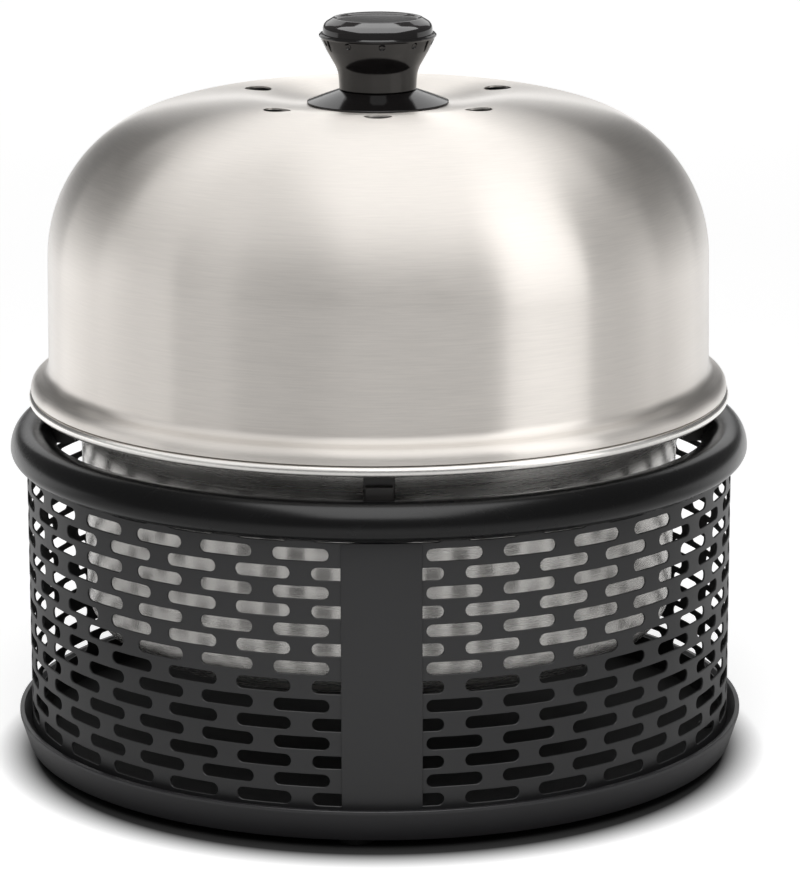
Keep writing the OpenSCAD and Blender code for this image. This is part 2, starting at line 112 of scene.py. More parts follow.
class GrillBaseSizes(bpy.types.PropertyGroup):
    """Sizes of the standing part: feet, tray, shell, strap, ring and lugs."""

    foot_count: number("Feet", "Number of rubber feet", 4)
    foot_radius: length("Foot radius", "Radius of a rubber foot", 8 * MM)
    foot_circle: length("Foot circle", "Distance from the axis to the middle of a foot", 148 * MM)
    foot_turn: angle("Foot turn", "Angle from the strap to the nearest foot", -4)
    pin_radius: length("Pin radius", "Radius of the pin that holds a foot", 2.5 * MM)
    tray_low: length("Tray underside", "Height of the tray's underside", low("base_tray"))
    tray_top: length("Tray top", "Height of the tray's lip", high("base_tray"))
    tray_radius: length("Tray radius", "Outside radius of the tray's wall", 159.7 * MM)
    lip_radius: length("Lip radius", "Outside radius of the tray's lip", reach("base_tray"))
    shell_radius: length("Shell radius", "Outside radius of the slotted shell", reach("perforated_shell"))
    shell_low: length("Shell foot", "Height of the shell's lower edge", low("perforated_shell"))
    shell_top: length("Shell top", "Height of the shell's upper edge", high("perforated_shell"))
    shell_sheet: length("Shell sheet", "Sheet thickness of the shell", 0.8 * MM)
    slot_columns: number("Slots in a row", "Slots in a full row round the shell", 30)
    slot_rows: number("Slot rows", "Rows of slots", 15)
    slot_length: length("Slot length", "Length of a slot round the shell", 24 * MM)
    slot_width: length("Slot width", "Width of a slot", 5.5 * MM)
    row_pitch: length("Row pitch", "Distance from row to row", 8.15 * MM)
    first_row: length("First row", "Height of the lowest row", low("perforated_shell") + 14.5 * MM)
    seam_lap: angle("Seam lap", "Angle that the sheet's ends lap, which draws the slots there together", 0.6)
    strap_half_width: length("Strap half width", "Half the strap's width",
                             (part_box("seam_strap")[1].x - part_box("seam_strap")[0].x) / 2)
    strap_turn: angle("Strap turn", "Angle from the middle of the front to the middle of the strap", 0.3)
    strap_sheet: length("Strap sheet", "Thickness of the strap", 1.0 * MM)
    ring_radius: length("Ring radius", "Radius of the ring's highest circle", 156.5 * MM)
    ring_outward: length("Ring bulge", "How far the ring bulges outwards from there",
        reach("top_ring") - 156.5 * MM)
    ring_inward: length("Ring slope", "How far the ring slopes inwards from there", 12 * MM)
    ring_widest: length("Ring middle", "Height of the ring's widest line", high("top_ring") - 11 * MM)
    lug_count: number("Lugs", "Number of lugs that carry the bowl", 4)
    lug_width: length("Lug width", "Width of a lug", 13.2 * MM)
    lug_step_width: length("Lug step width", "Width of a lug's front step", 12 * MM)
    lug_step: length("Lug step", "Height of a lug's front step", high("bowl_lugs") - 4 * MM)


class GrillBowlSizes(bpy.types.PropertyGroup):
    """Sizes of the bowl, the firebox, the charcoal basket and the cooking plate."""

    bowl_radius: length("Bowl radius", "Outside radius just under the flange", 133.8 * MM)
    bowl_taper: length("Bowl taper", "How much narrower the bowl is at its foot", 2.4 * MM)
    bowl_corner: length("Bowl corner", "Radius of the bottom corner", 20 * MM)
    bowl_low: length("Bowl underside", "Height of the bowl's underside", low("inner_bowl"))
    seat: length("Bowl seat", "Height at which the flange lies on the lugs", high("bowl_lugs"))
    sheet: length("Bowl sheet", "Sheet thickness of the bowl and the firebox", 0.8 * MM)
    flange_radius: length("Flange radius", "Outside radius of the flat seat", 147 * MM)
    bead_radius: length("Bead radius", "Radius of the middle of the rolled bead",
        reach("inner_bowl") - 2.35 * MM)
    bead_height: length("Bead height", "Height of the middle of the rolled bead",
        high("inner_bowl") - 2.35 * MM)
    bead_roll: length("Bead roll", "Radius of the bead's roll", 2.35 * MM)
    firebox_inner: length("Firebox inside", "Radius of the firebox's inner wall", 71 * MM)
    firebox_outer: length("Firebox outside", "Radius of the firebox's outer wall", 80 * MM)
    firebox_top: length("Firebox top", "Height of the firebox's folded edge", high("firebox_wall"))
    air_holes: number("Air holes", "Number of air holes round the firebox", 12)
    air_hole: length("Air hole", "Radius of an air hole", 4.5 * MM)
    hoop_radius: length("Hoop radius", "Radius of the basket's hoops", 52 * MM)
    hoop_low: length("Lower hoop", "Height of the basket's lower hoop", low("basket_cage") + 1.5 * MM)
    hoop_high: length("Upper hoop", "Height of the basket's upper hoop", low("basket_cage") + 31.5 * MM)
    hoop_wire: length("Hoop wire", "Radius of the hoop and handle wire", 1.5 * MM)
    cage_wire: length("Cage wire", "Radius of the upright and floor wires", 1.2 * MM)
    uprights: number("Uprights", "Number of upright wires", 16)
    floor_pitch: length("Floor pitch", "Distance between the floor wires", 13 * MM)
    bail_pivot: length("Bail pivot", "Height of the handle's pivot", low("basket_bail") + 1.5 * MM)
    ear_reach: length("Ear reach", "Distance from the axis to the middle of an ear", 49.8 * MM)
    ear_sheet: length("Ear sheet", "Thickness of an ear", 2 * MM)
    plate_radius: length("Plate radius", "Outside radius of the cooking plate", reach("grill_plate"))
    plate_low: length("Plate underside", "Height of the plate's rim", low("grill_plate"))
    plate_sheet: length("Plate sheet", "Sheet thickness of the plate", 1.6 * MM)
    plate_dome: length("Plate dome", "Rise of the plate to its centre", 9 * MM)
    drain_holes: number("Drain holes", "Number of drain holes", 24)
    drain_hole: length("Drain hole", "Radius of a drain hole", 1.5 * MM)
    drain_circle: length("Drain circle", "Radius of the circle of drain holes", 126.5 * MM)


class GrillLidSizes(bpy.types.PropertyGroup):
    """Sizes of the lid and its knob."""

    lip_low: length("Lip foot", "Height of the lip's lower edge", low("lid_shell"))
    lip_radius: length("Lip radius", "Outside radius of the lip inside the bead",
        reach("inner_bowl") - 5 * MM)
    rim_low: length("Rim underside", "Height of the flared rim's underside", high("inner_bowl") + 0.3 * MM)
    rim_height: length("Rim height", "Height of the flared rim", 8.8 * MM)
    edge_height: length("Edge height", "Height of the rim's turned-down edge", 5 * MM)
    rim_radius: length("Rim radius", "Outside radius of the flared rim", reach("lid_shell"))
    foot_radius: length("Wall foot", "Radius of the wall at its foot", 147.4 * MM)
    wall_radius: length("Wall radius", "Radius of the wall under the shoulder", 146.7 * MM)
    shoulder_height: length("Shoulder height", "Height at which the shoulder starts",
        high("bowl_lugs") + 66.4 * MM)
    shoulder_radius: length("Shoulder radius", "Radius of the shoulder", 67 * MM)
    crown_radius: length("Crown radius", "Radius of the crown", 130 * MM)
    hand_over: angle("Hand over", "Angle at which the shoulder hands over to the crown", 72)
    dish: length("Dish", "Depth of the dish that the knob stands in", 3 * MM)
    sheet: length("Lid sheet", "Sheet thickness of the lid", 0.8 * MM)
    vents: number("Vents", "Number of vent holes", 6)
    vent_radius: length("Vent radius", "Radius of a vent hole", 6 * MM)
    vent_circle: length("Vent circle", "Radius of the circle of vent holes", 58.5 * MM)
    vent_first: angle("First vent step", "Angle from the front vent to the next", 48)
    vent_step: angle("Vent step", "Angle between the other vents", 66)
    skirt_radius: length("Skirt radius", "Radius of the heat skirt", reach("knob_skirt"))
    knob_radius: length("Knob radius", "Radius of the knob's rim", reach("knob_body"))
    waist_radius: length("Waist radius", "Radius of the knob's waist", 17 * MM)
    waist_height: length("Waist height", "Height of the knob's waist", 8.6 * MM)
    grip_height: length("Grip height", "Height of the grip band under the knob's rim", 7.2 * MM)
    grip_inset: length("Grip inset", "How much smaller the grip band is than the rim", 0.5 * MM)
    recess_radius: length("Recess radius", "Radius of the recess in the cap", 18.3 * MM)
    dimples: number("Dimples", "Number of grip dimples", 10)
    dimple_radius: length("Dimple radius", "Radius of a grip dimple", 1.4 * MM)
    dimple_depth: length("Dimple depth", "Depth of a grip dimple", 0.8 * MM)
    dimple_turn: angle("Dimple turn", "Angle from the front to the first dimple", 4.4)
    screw_radius: length("Screw radius", "Radius of the knob screw", 2.5 * MM)


class GrillFinishes(bpy.types.PropertyGroup):
    """Colours of the finishes."""

    lid_steel: tint("Lid steel", "Brushed steel of the lid", (0.785, 0.745, 0.70))
    bowl_steel: tint("Bowl steel", "Polished steel of the bowl", (0.86, 0.84, 0.81))
    plain_steel: tint("Plain steel", "Drawn steel of the firebox and fasteners", (0.62, 0.61, 0.59))
    wire_steel: tint("Wire steel", "Steel wire of the basket", (0.56, 0.56, 0.55))
    shell_coating: tint("Shell coating", "Dark coating of the slotted shell", (0.017, 0.017, 0.018))
    strap_coating: tint("Strap coating", "Dark coating of the strap", (0.029, 0.029, 0.030))
    tray_plastic: tint("Tray plastic", "Dark plastic of the tray", (0.017, 0.0165, 0.0185))
    ring_plastic: tint("Ring plastic", "Black plastic of the ring", (0.004, 0.004, 0.0042))
    lug_plastic: tint("Lug plastic", "Black plastic of the lugs", (0.020, 0.018, 0.017))
    knob_plastic: tint("Knob plastic", "Black plastic of the knob", (0.009, 0.008, 0.008))
    rubber: tint("Rubber", "Rubber of the feet", (0.016, 0.016, 0.016))
    nonstick: tint("Non-stick", "Coating of the cooking plate", (0.022, 0.022, 0.023))
    brass: tint("Brass", "Threaded insert of the knob", (0.72, 0.52, 0.22))
    floor: tint("Floor", "Pale studio floor", (0.86, 0.86, 0.86))


class GrillStudio(bpy.types.PropertyGroup):
    """Studio light and camera."""

    ceiling: FloatProperty(name="Ceiling light", description="Strength of the overhead soft box",
        default=26.0)
    strip: FloatProperty(name="Strip light", description="Strength of the upright soft box on the right",
        default=5.4)
    dome: FloatProperty(name="Dome light", description="Strength of the soft boxes over the bright steel",
        default=34.0)
    sides: FloatProperty(name="Side light", description="Strength of the soft boxes beside the bright steel",
        default=4.0)
    backdrop: FloatProperty(name="Back light", description="Strength of the light behind the grill",
        default=25.0)
    room: share("Room", "Brightness of the room", 0.15)
    floor_glow: share("Floor glow", "How much brighter the floor looks to the camera", 0.54)
    camera_distance: length("Camera distance", "Distance from the axis to the camera", 1.752875)
    camera_height: length("Camera height", "Height of the camera", 0.56006)
    camera_tilt: angle("Camera tilt", "How far the camera looks down", 13.5153)
    camera_pan: angle("Camera pan", "How far the camera looks to the right", 0.3085)
    camera_roll: angle("Camera roll", "How far the camera leans", -0.12)
    lens: FloatProperty(name="Lens", description="Focal length on a 36 mm high sensor", default=164.284,
        unit="CAMERA")


# Sections and meshes --------------------------------------------------------------------------


def arc(centre, radius, start, end, steps):
    """Points of an arc in a section, its angles in radians from outwards to up."""
    turns = [start + (end - start) * k / steps for k in range(steps + 1)]
    return [(centre[0] + radius * math.cos(t), centre[1] + radius * math.sin(t)) for t in turns]


def rounded(corners, steps=8):
    """The path through (r, z) or (r, z, fillet) corners, with its fillets filled in."""
    path = []
    for k, corner in enumerate(corners):
        here = Vector(corner[:2])
        if len(corner) < 3:
            path.append(tuple(here))
            continue
        back = (Vector(corners[k - 1][:2]) - here).normalized()
        ahead = (Vector(corners[(k + 1) % len(corners)][:2]) - here).normalized()
        half = back.angle(ahead) / 2
        centre = here + (back + ahead).normalized() * corner[2] / math.sin(half)
        start = here + back * corner[2] / math.tan(half) - centre
        end = here + ahead * corner[2] / math.tan(half) - centre
        first = math.atan2(start.y, start.x)
        turn = (math.atan2(end.y, end.x) - first + 3 * math.pi) % math.tau - math.pi
        path += arc(centre, corner[2], first, first + turn, steps)
    return path


def beside(path, distance):
    """The path moved sideways, to the left of its direction."""
    points = [Vector(p) for p in path]
    moved = []
    for k, point in enumerate(points):
        i, j = max(k, 1), min(k, len(points) - 2)
        u = (points[i] - points[i - 1]).normalized()
        w = (points[j + 1] - points[j]).normalized()
        moved.append(tuple(point + distance * Vector((-u.y - w.y, u.x + w.x)) / (1 + u.dot(w))))
    return moved


def new_piece(name, corners, faces, edges=()):
    """A mesh object at the origin from its corners and faces."""
    mesh = bpy.data.meshes.new(name)
    mesh.from_pydata(corners, list(edges), faces)
    piece = bpy.data.objects.new(name, mesh)
    bpy.context.scene.collection.objects.link(piece)
    return piece


def turned(name, section, segments=192, at=(0, 0)):
    """A closed section of (r, z) or (r, z, sides) points turned about an upright axis.

    A point with sides gives a ring with that many flats, such as a hexagon socket's.
    """
    area = sum(a[0] * b[1] - b[0] * a[1] for a, b in zip(section, section[1:] + section[:1]))
    if area < 0:
        section = section[::-1]
    corners, rings = [], []
    for point in section:
        r, z = point[0], point[1]
        if r < 1e-7:
            rings.append([len(corners)] * segments)
            corners.append((at[0], at[1], z))
            continue
        rings.append(list(range(len(corners), len(corners) + segments)))
        for k in range(segments):
            a = math.tau * k / segments
            flat = math.pi / point[2] if len(point) > 2 else 0
            out = r / math.cos((a + flat) % (2 * flat) - flat) if flat else r
            corners.append((at[0] + out * math.sin(a), at[1] - out * math.cos(a), z))
    faces = []
    for a, b in zip(rings, rings[1:] + rings[:1]):
        for i in range(segments):
            j = (i + 1) % segments
            face = list(dict.fromkeys((a[i], a[j], b[j], b[i])))
            if len(face) > 2:
                faces.append(face)
    return new_piece(name, corners, faces)


def joined(piece, other):
    """Adds another object's mesh to a piece and removes the other object."""
    made = bmesh.new()
    made.from_mesh(piece.data)
    made.from_mesh(other.data)
    made.to_mesh(piece.data)
    made.free()
    bpy.data.objects.remove(other)
    return piece


def extruded(name, outline, across, hole=None):
    """A closed outline of (y, z) points as a plate along X between two places, with an optional hole."""
    made = bmesh.new()
    sides = []
    for x in across:
        sides.append(([made.verts.new((x, y, z)) for y, z in outline],
                      [made.verts.new((x, y, z)) for y, z in hole or ()]))
    count = len(outline)
    for outer, inner in sides:
        if hole:
            for i in range(count):
                j = (i + 1) % count
                made.faces.new((outer[i], outer[j], inner[j], inner[i]))
        else:
            made.faces.new(outer)
    for first, second in zip(*sides):
        for i in range(len(first)):
            j = (i + 1) % len(first)
            made.faces.new((first[i], first[j], second[j], second[i]))
    bmesh.ops.recalc_face_normals(made, faces=made.faces)
    piece = new_piece(name, [], [])
    made.to_mesh(piece.data)
    made.free()
    return piece


def as_mesh(piece):
    """Turns a piece's modifiers into plain mesh."""
    depsgraph = bpy.context.evaluated_depsgraph_get()
    mesh = bpy.data.meshes.new_from_object(piece.evaluated_get(depsgraph))
    piece.modifiers.clear()
    old, piece.data = piece.data, mesh
    bpy.data.meshes.remove(old)
    if not mesh.polygons:
        raise RuntimeError(f"{piece.name} came out with no faces")
    return piece


def bevelled(piece, width, segments=3, degrees=40):
    """Rounds the piece's edges that are sharper than an angle."""
    bevel = piece.modifiers.new("Bevel", "BEVEL")
    bevel.width, bevel.segments = width, segments
    bevel.limit_method, bevel.angle_limit = "ANGLE", math.radians(degrees)
    bevel.use_clamp_overlap = True
    return as_mesh(piece)


def smooth(piece, degrees=32):
    """Shades a piece smooth, apart from edges sharper than an angle."""
    piece.data.shade_smooth()
    piece.data.set_sharp_from_angle(angle=math.radians(degrees))
    return piece


def settle(piece, body, slot, *nodes, finish=None):
    """Gives a finished piece its finish, if one is given, and its body, and hides the CAD nodes it stands
    for; the slot argument is not used.
    """
    if finish:
        piece.data.materials.clear()
        piece.data.materials.append(finish)
    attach(piece, body)
    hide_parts(*nodes)


# Geometry Nodes -------------------------------------------------------------------------------


class Wiring:
    """Adds nodes to a tree and links or sets their inputs by name or number."""

    def __init__(self, tree):
        self.tree = tree

    def add(self, kind, inputs=None, **settings):
        node = self.tree.nodes.new(kind)
        node.location = (190 * (len(self.tree.nodes) % 12), -260 * (len(self.tree.nodes) // 12))
        for key, value in settings.items():
            setattr(node, key, value)
        for key, value in (inputs or {}).items():
            if isinstance(value, bpy.types.NodeSocket):
                self.tree.links.new(value, node.inputs[key])
            else:
                node.inputs[key].default_value = value
        return node

    def out(self, kind, inputs=None, **settings):
        """A new node's first output."""
        return self.add(kind, inputs, **settings).outputs[0]

    def math(self, operation, *values):
        return self.out("ShaderNodeMath", dict(enumerate(values)), operation=operation)

    def plus(self, a, b):
        return self.math("ADD", a, b)

    def minus(self, a, b):
        return self.math("SUBTRACT", a, b)

    def times(self, a, b):
        return self.math("MULTIPLY", a, b)

    def over(self, a, b):
        return self.math("DIVIDE", a, b)

    def times_plus(self, a, b, c):
        return self.math("MULTIPLY_ADD", a, b, c)

    def vector(self, x=0.0, y=0.0, z=0.0):
        return self.out("ShaderNodeCombineXYZ", {0: x, 1: y, 2: z})


SOCKETS = {
    "shape": "NodeSocketGeometry", "number": "NodeSocketInt", "size": "NodeSocketFloat",
    "yes": "NodeSocketBool", "object": "NodeSocketObject", "finish": "NodeSocketMaterial",
}


def shape_tree(name, inputs):
    """A new Geometry Nodes tree with named inputs, its wiring and its input sockets."""
    tree = bpy.data.node_groups.new(name, "GeometryNodeTree")
    tree.is_modifier = True
    for label, kind in inputs.items():
        tree.interface.new_socket(label, in_out="INPUT", socket_type=SOCKETS[kind])
    tree.interface.new_socket("Shape", in_out="OUTPUT", socket_type=SOCKETS["shape"])
    wiring = Wiring(tree)
    return wiring, wiring.add("NodeGroupInput").outputs


def end_tree(wiring, shape, finish):
    """Ends a tree in Realize Instances and Set Material."""
    real = wiring.out("GeometryNodeRealizeInstances", {"Geometry": shape})
    done = wiring.out("GeometryNodeSetMaterial", {"Geometry": real, "Material": finish})
    wiring.add("NodeGroupOutput", {0: done})
    return wiring.tree


def grown(piece, tree, **values):
    """Runs a tree on a piece with its inputs set by name (spaces as _), and keeps the plain mesh."""
    modifier = piece.modifiers.new(tree.name, "NODES")
    modifier.node_group = tree
    names = {key.replace("_", " "): value for key, value in values.items()}
    for item in tree.interface.items_tree:
        if item.item_type == "SOCKET" and item.in_out == "INPUT" and item.name in names:
            modifier[item.identifier] = names.pop(item.name)
    if names:
        raise RuntimeError(f"{tree.name} has no inputs {sorted(names)}")
    return as_mesh(piece)


def turn_about_axis(wiring, turn):
    """A rotation about the upright axis."""
    return wiring.out("FunctionNodeEulerToRotation", {0: wiring.vector(z=turn)})


def tree_of_copies():
    """Copies of the piece round the axis."""
    wiring, given = shape_tree("Copies round the axis", {
        "Shape": "shape", "Count": "number", "Turn": "size", "Finish": "finish"})
    step = wiring.over(math.tau, given["Count"])
    turn = wiring.times_plus(wiring.out("GeometryNodeInputIndex"), step, given["Turn"])
    points = wiring.out("GeometryNodePoints", {"Count": given["Count"]})
    copies = wiring.out("GeometryNodeInstanceOnPoints", {
        "Points": points, "Instance": given["Shape"], "Rotation": turn_about_axis(wiring, turn)})
    return end_tree(wiring, copies, given["Finish"])


def tree_of_holes():
    """Round holes punched through the piece on a circle, upright or towards the axis."""
    wiring, given = shape_tree("Punched holes", {
        "Shape": "shape", "Count": "number", "First step": "size", "Step": "size", "Hole radius": "size",
        "Circle": "size", "Level": "size", "Depth": "size", "Sideways": "yes", "Finish": "finish"})
    punch = wiring.add("GeometryNodeMeshCylinder", {
        "Vertices": 40, "Radius": given["Hole radius"], "Depth": given["Depth"]}).outputs["Mesh"]
    lean = wiring.times(given["Sideways"], math.pi / 2)
    out = wiring.times(given["Circle"], -1.0)
    punch = wiring.out("GeometryNodeTransform", {
        "Geometry": punch, "Translation": wiring.vector(y=out, z=given["Level"]),
        "Rotation": wiring.out("FunctionNodeEulerToRotation", {0: wiring.vector(x=lean)})})
    index = wiring.out("GeometryNodeInputIndex")
    later = wiring.times_plus(wiring.minus(index, 1.0), given["Step"], given["First step"])
    turn = wiring.times(later, wiring.math("GREATER_THAN", index, 0.5))
    points = wiring.out("GeometryNodePoints", {"Count": given["Count"]})
    punches = wiring.out("GeometryNodeInstanceOnPoints", {
        "Points": points, "Instance": punch, "Rotation": turn_about_axis(wiring, turn)})
    punches = wiring.out("GeometryNodeRealizeInstances", {"Geometry": punches})
    cut = wiring.out("GeometryNodeMeshBoolean", {0: given["Shape"], 1: punches},
                     operation="DIFFERENCE", solver="MANIFOLD")
    return end_tree(wiring, cut, given["Finish"])


def punched(piece, count, radius, circle, level, depth, finish, sideways=False, first=None, step=None):
    """Punches round holes on a circle through a piece, evenly spaced unless their steps are given."""
    even = math.tau / count
    return grown(piece, tree_of_holes(), Count=count, First_step=first or even, Step=step or even,
                 Hole_radius=radius, Circle=circle, Level=level, Depth=depth, Sideways=sideways,
                 Finish=finish)


def tree_of_dimples():
    """Small round dimples pressed into a turned piece at one height."""
    wiring, given = shape_tree("Grip dimples", {
        "Shape": "shape", "Count": "number", "Turn": "size", "Level": "size", "Circle": "size",
        "Dimple radius": "size", "Depth": "size", "Finish": "finish"})
    place = wiring.out("GeometryNodeInputPosition")
    x, y, z = wiring.add("ShaderNodeSeparateXYZ", {0: place}).outputs[:3]
    bearing = wiring.math("ARCTAN2", x, wiring.times(y, -1.0))
    half = wiring.over(math.pi, given["Count"])
    off = wiring.math("WRAP", wiring.minus(bearing, given["Turn"]), half, wiring.times(half, -1.0))
    along = wiring.times(off, given["Circle"])
    up = wiring.minus(z, given["Level"])
    square = wiring.plus(wiring.times(along, along), wiring.times(up, up))
    room = wiring.times(given["Dimple radius"], given["Dimple radius"])
    press = wiring.math("MAXIMUM", wiring.minus(1.0, wiring.over(square, room)), 0.0)
    press = wiring.times(wiring.math("SQRT", press), given["Depth"])
    flat = wiring.vector(x, y, 0.0)
    inward = wiring.out("ShaderNodeVectorMath", {0: flat}, operation="NORMALIZE")
    push = wiring.out("ShaderNodeVectorMath", {
        0: inward, "Scale": wiring.times(press, -1.0)}, operation="SCALE")
    pressed = wiring.out("GeometryNodeSetPosition", {"Geometry": given["Shape"], "Offset": push})
    return end_tree(wiring, pressed, given["Finish"])


def tree_of_slots():
    """A sheet of slotted cells in staggered rows, rolled into a cylinder, with a plain seam at the front."""
    wiring, given = shape_tree("Slotted shell", {
        "Slot cell": "object", "Plain cell": "object", "Columns": "number", "Rows": "number",
        "Row pitch": "size", "First row": "size", "Low edge": "size", "Top edge": "size",
        "Radius": "size", "Seam lap": "size", "Finish": "finish"})
    slot_cell = wiring.add("GeometryNodeObjectInfo",
        {"Object": given["Slot cell"], "As Instance": True}).outputs["Geometry"]
    plain_cell = wiring.add("GeometryNodeObjectInfo",
        {"Object": given["Plain cell"], "As Instance": True}).outputs["Geometry"]
    index = wiring.out("GeometryNodeInputIndex")
    row = wiring.math("FLOOR", wiring.over(wiring.plus(index, 0.5), given["Columns"]))
    column = wiring.math("FLOOR", wiring.plus(0.5, wiring.minus(index, wiring.times(row, given["Columns"]))))
    odd = wiring.math("MODULO", row, 2.0)
    width = wiring.over(wiring.times(given["Radius"], math.tau), given["Columns"])
    shift = wiring.times_plus(odd, -0.5, 0.5)
    along = wiring.times(wiring.plus(column, shift), width)
    level = wiring.times_plus(row, given["Row pitch"], given["First row"])
    cells = wiring.times(given["Rows"], given["Columns"])
    sites = wiring.out("GeometryNodePoints", {
        "Count": cells, "Position": wiring.vector(along, 0.0, level)})
    seam = wiring.times(odd, wiring.math("LESS_THAN", column, 0.5))
    slotted = wiring.out("GeometryNodeInstanceOnPoints", {
        "Points": sites, "Selection": wiring.minus(1.0, seam), "Instance": slot_cell})
    plain = wiring.out("GeometryNodeInstanceOnPoints", {
        "Points": sites, "Selection": seam, "Instance": plain_cell})
    shapes = [slotted, plain]
    half = wiring.times(given["Row pitch"], 0.5)
    first_edge = wiring.minus(given["First row"], half)
    last_row = wiring.times_plus(wiring.minus(given["Rows"], 1.0), given["Row pitch"], given["First row"])
    last_edge = wiring.plus(last_row, half)
    for start, end in ((given["Low edge"], first_edge), (last_edge, given["Top edge"])):
        middle = wiring.times(wiring.plus(start, end), 0.5)
        tall = wiring.over(wiring.minus(end, start), given["Row pitch"])
        spot = wiring.vector(wiring.times(index, width), 0.0, middle)
        band = wiring.out("GeometryNodePoints", {"Count": given["Columns"], "Position": spot})
        shapes.append(wiring.out("GeometryNodeInstanceOnPoints", {
            "Points": band, "Instance": plain_cell, "Scale": wiring.vector(1.0, 1.0, tall)}))
    sheet = wiring.add("GeometryNodeJoinGeometry")
    for shape in shapes:
        wiring.tree.links.new(shape, sheet.inputs[0])
    flat = wiring.out("GeometryNodeRealizeInstances", {"Geometry": sheet.outputs[0]})
    x, y, z = wiring.add("ShaderNodeSeparateXYZ", {0: wiring.out("GeometryNodeInputPosition")}).outputs[:3]
    seam = math.radians(4)
    bearing = wiring.math("WRAP", wiring.over(x, given["Radius"]), math.tau - seam, -seam)
    past = wiring.over(wiring.plus(bearing, seam), 2 * seam)
    round_to_seam = wiring.over(wiring.minus(math.tau - seam, bearing), math.tau - 2 * seam)
    drawn = wiring.times(wiring.math("MINIMUM", past, round_to_seam), given["Seam lap"])
    bearing = wiring.minus(bearing, drawn)
    out = wiring.minus(given["Radius"], y)
    rolled = wiring.out("GeometryNodeSetPosition", {"Geometry": flat, "Position": wiring.vector(
        wiring.times(out, wiring.math("SINE", bearing)),
        wiring.times(out, wiring.times(wiring.math("COSINE", bearing), -1.0)), z)})
    welded = wiring.out("GeometryNodeMergeByDistance", {"Geometry": rolled, "Distance": WELD})
    return end_tree(wiring, welded, given["Finish"])


def tree_of_basket():
    """Hoops, uprights and floor wires of the basket, joined to the ears that the tree is given."""
    wiring, given = shape_tree("Wire basket", {
        "Shape": "shape", "Hoop radius": "size", "Low hoop": "size", "High hoop": "size", "Hoop wire": "size",
        "Cage wire": "size", "Uprights": "number", "Floor wires": "number", "Floor pitch": "size",
        "Finish": "finish"})

    def wire(path, radius):
        ring = wiring.out("GeometryNodeCurvePrimitiveCircle", {"Resolution": 12, "Radius": radius})
        mesh = wiring.add("GeometryNodeCurveToMesh",
            {"Curve": path, "Profile Curve": ring, "Fill Caps": True})
        return mesh.outputs[0]

    shapes = [given["Shape"]]
    hoop = wire(wiring.out("GeometryNodeCurvePrimitiveCircle", {
        "Resolution": 128, "Radius": given["Hoop radius"]}), given["Hoop wire"])
    for level in (given["Low hoop"], given["High hoop"]):
        shapes.append(wiring.out("GeometryNodeTransform", {
            "Geometry": hoop, "Translation": wiring.vector(z=level)}))
    out = wiring.times(given["Hoop radius"], -1.0)
    upright = wire(wiring.out("GeometryNodeCurvePrimitiveLine", {
        "Start": wiring.vector(0.0, out, given["Low hoop"]),
        "End": wiring.vector(0.0, out, given["High hoop"])}),
        given["Cage wire"])
    index = wiring.out("GeometryNodeInputIndex")
    step = wiring.over(math.tau, given["Uprights"])
    posts = wiring.out("GeometryNodePoints", {"Count": given["Uprights"]})
    shapes.append(wiring.out("GeometryNodeInstanceOnPoints", {
        "Points": posts, "Instance": upright,
        "Rotation": turn_about_axis(wiring, wiring.times(wiring.plus(index, 0.5), step))}))
    middle = wiring.times(wiring.minus(given["Floor wires"], 1.0), 0.5)
    across = wiring.times(wiring.minus(index, middle), given["Floor pitch"])
    chord = wiring.math("SQRT", wiring.minus(wiring.times(out, out), wiring.times(across, across)))
    spots = wiring.out("GeometryNodePoints", {
        "Count": given["Floor wires"], "Position": wiring.vector(0.0, across, given["Low hoop"])})
    rod = wire(wiring.out("GeometryNodeCurvePrimitiveLine", {
        "Start": (-1.0, 0.0, 0.0), "End": (1.0, 0.0, 0.0)}), given["Cage wire"])
    shapes.append(wiring.out("GeometryNodeInstanceOnPoints", {
        "Points": spots, "Instance": rod, "Scale": wiring.vector(chord, 1.0, 1.0)}))
    cage = wiring.add("GeometryNodeJoinGeometry")
    for shape in shapes:
        wiring.tree.links.new(shape, cage.inputs[0])
    return end_tree(wiring, cage.outputs[0], given["Finish"])


def tree_of_wire():
    """Round wire along the piece's own line of edges."""
    wiring, given = shape_tree("Bent wire", {"Shape": "shape", "Wire radius": "size", "Finish": "finish"})
    path = wiring.out("GeometryNodeMeshToCurve", {"Mesh": given["Shape"]})
    ring = wiring.out("GeometryNodeCurvePrimitiveCircle", {"Resolution": 16, "Radius": given["Wire radius"]})
    wire = wiring.out("GeometryNodeCurveToMesh", {"Curve": path, "Profile Curve": ring, "Fill Caps": True})
    return end_tree(wiring, wire, given["Finish"])


# Finishes -------------------------------------------------------------------------------------


def shader_group(name, inputs, outputs):
    """The shared shader node group of a name, and its wiring and input sockets if it is new."""
    tree = bpy.data.node_groups.get(name)
    if tree:
        return tree, None, None
    tree = bpy.data.node_groups.new(name, "ShaderNodeTree")
    for label, kind in inputs.items():
        tree.interface.new_socket(label, in_out="INPUT", socket_type=kind)
    for label in outputs:
        tree.interface.new_socket(label, in_out="OUTPUT", socket_type="NodeSocketFloat")
    wiring = Wiring(tree)
    return tree, wiring, wiring.add("NodeGroupInput").outputs


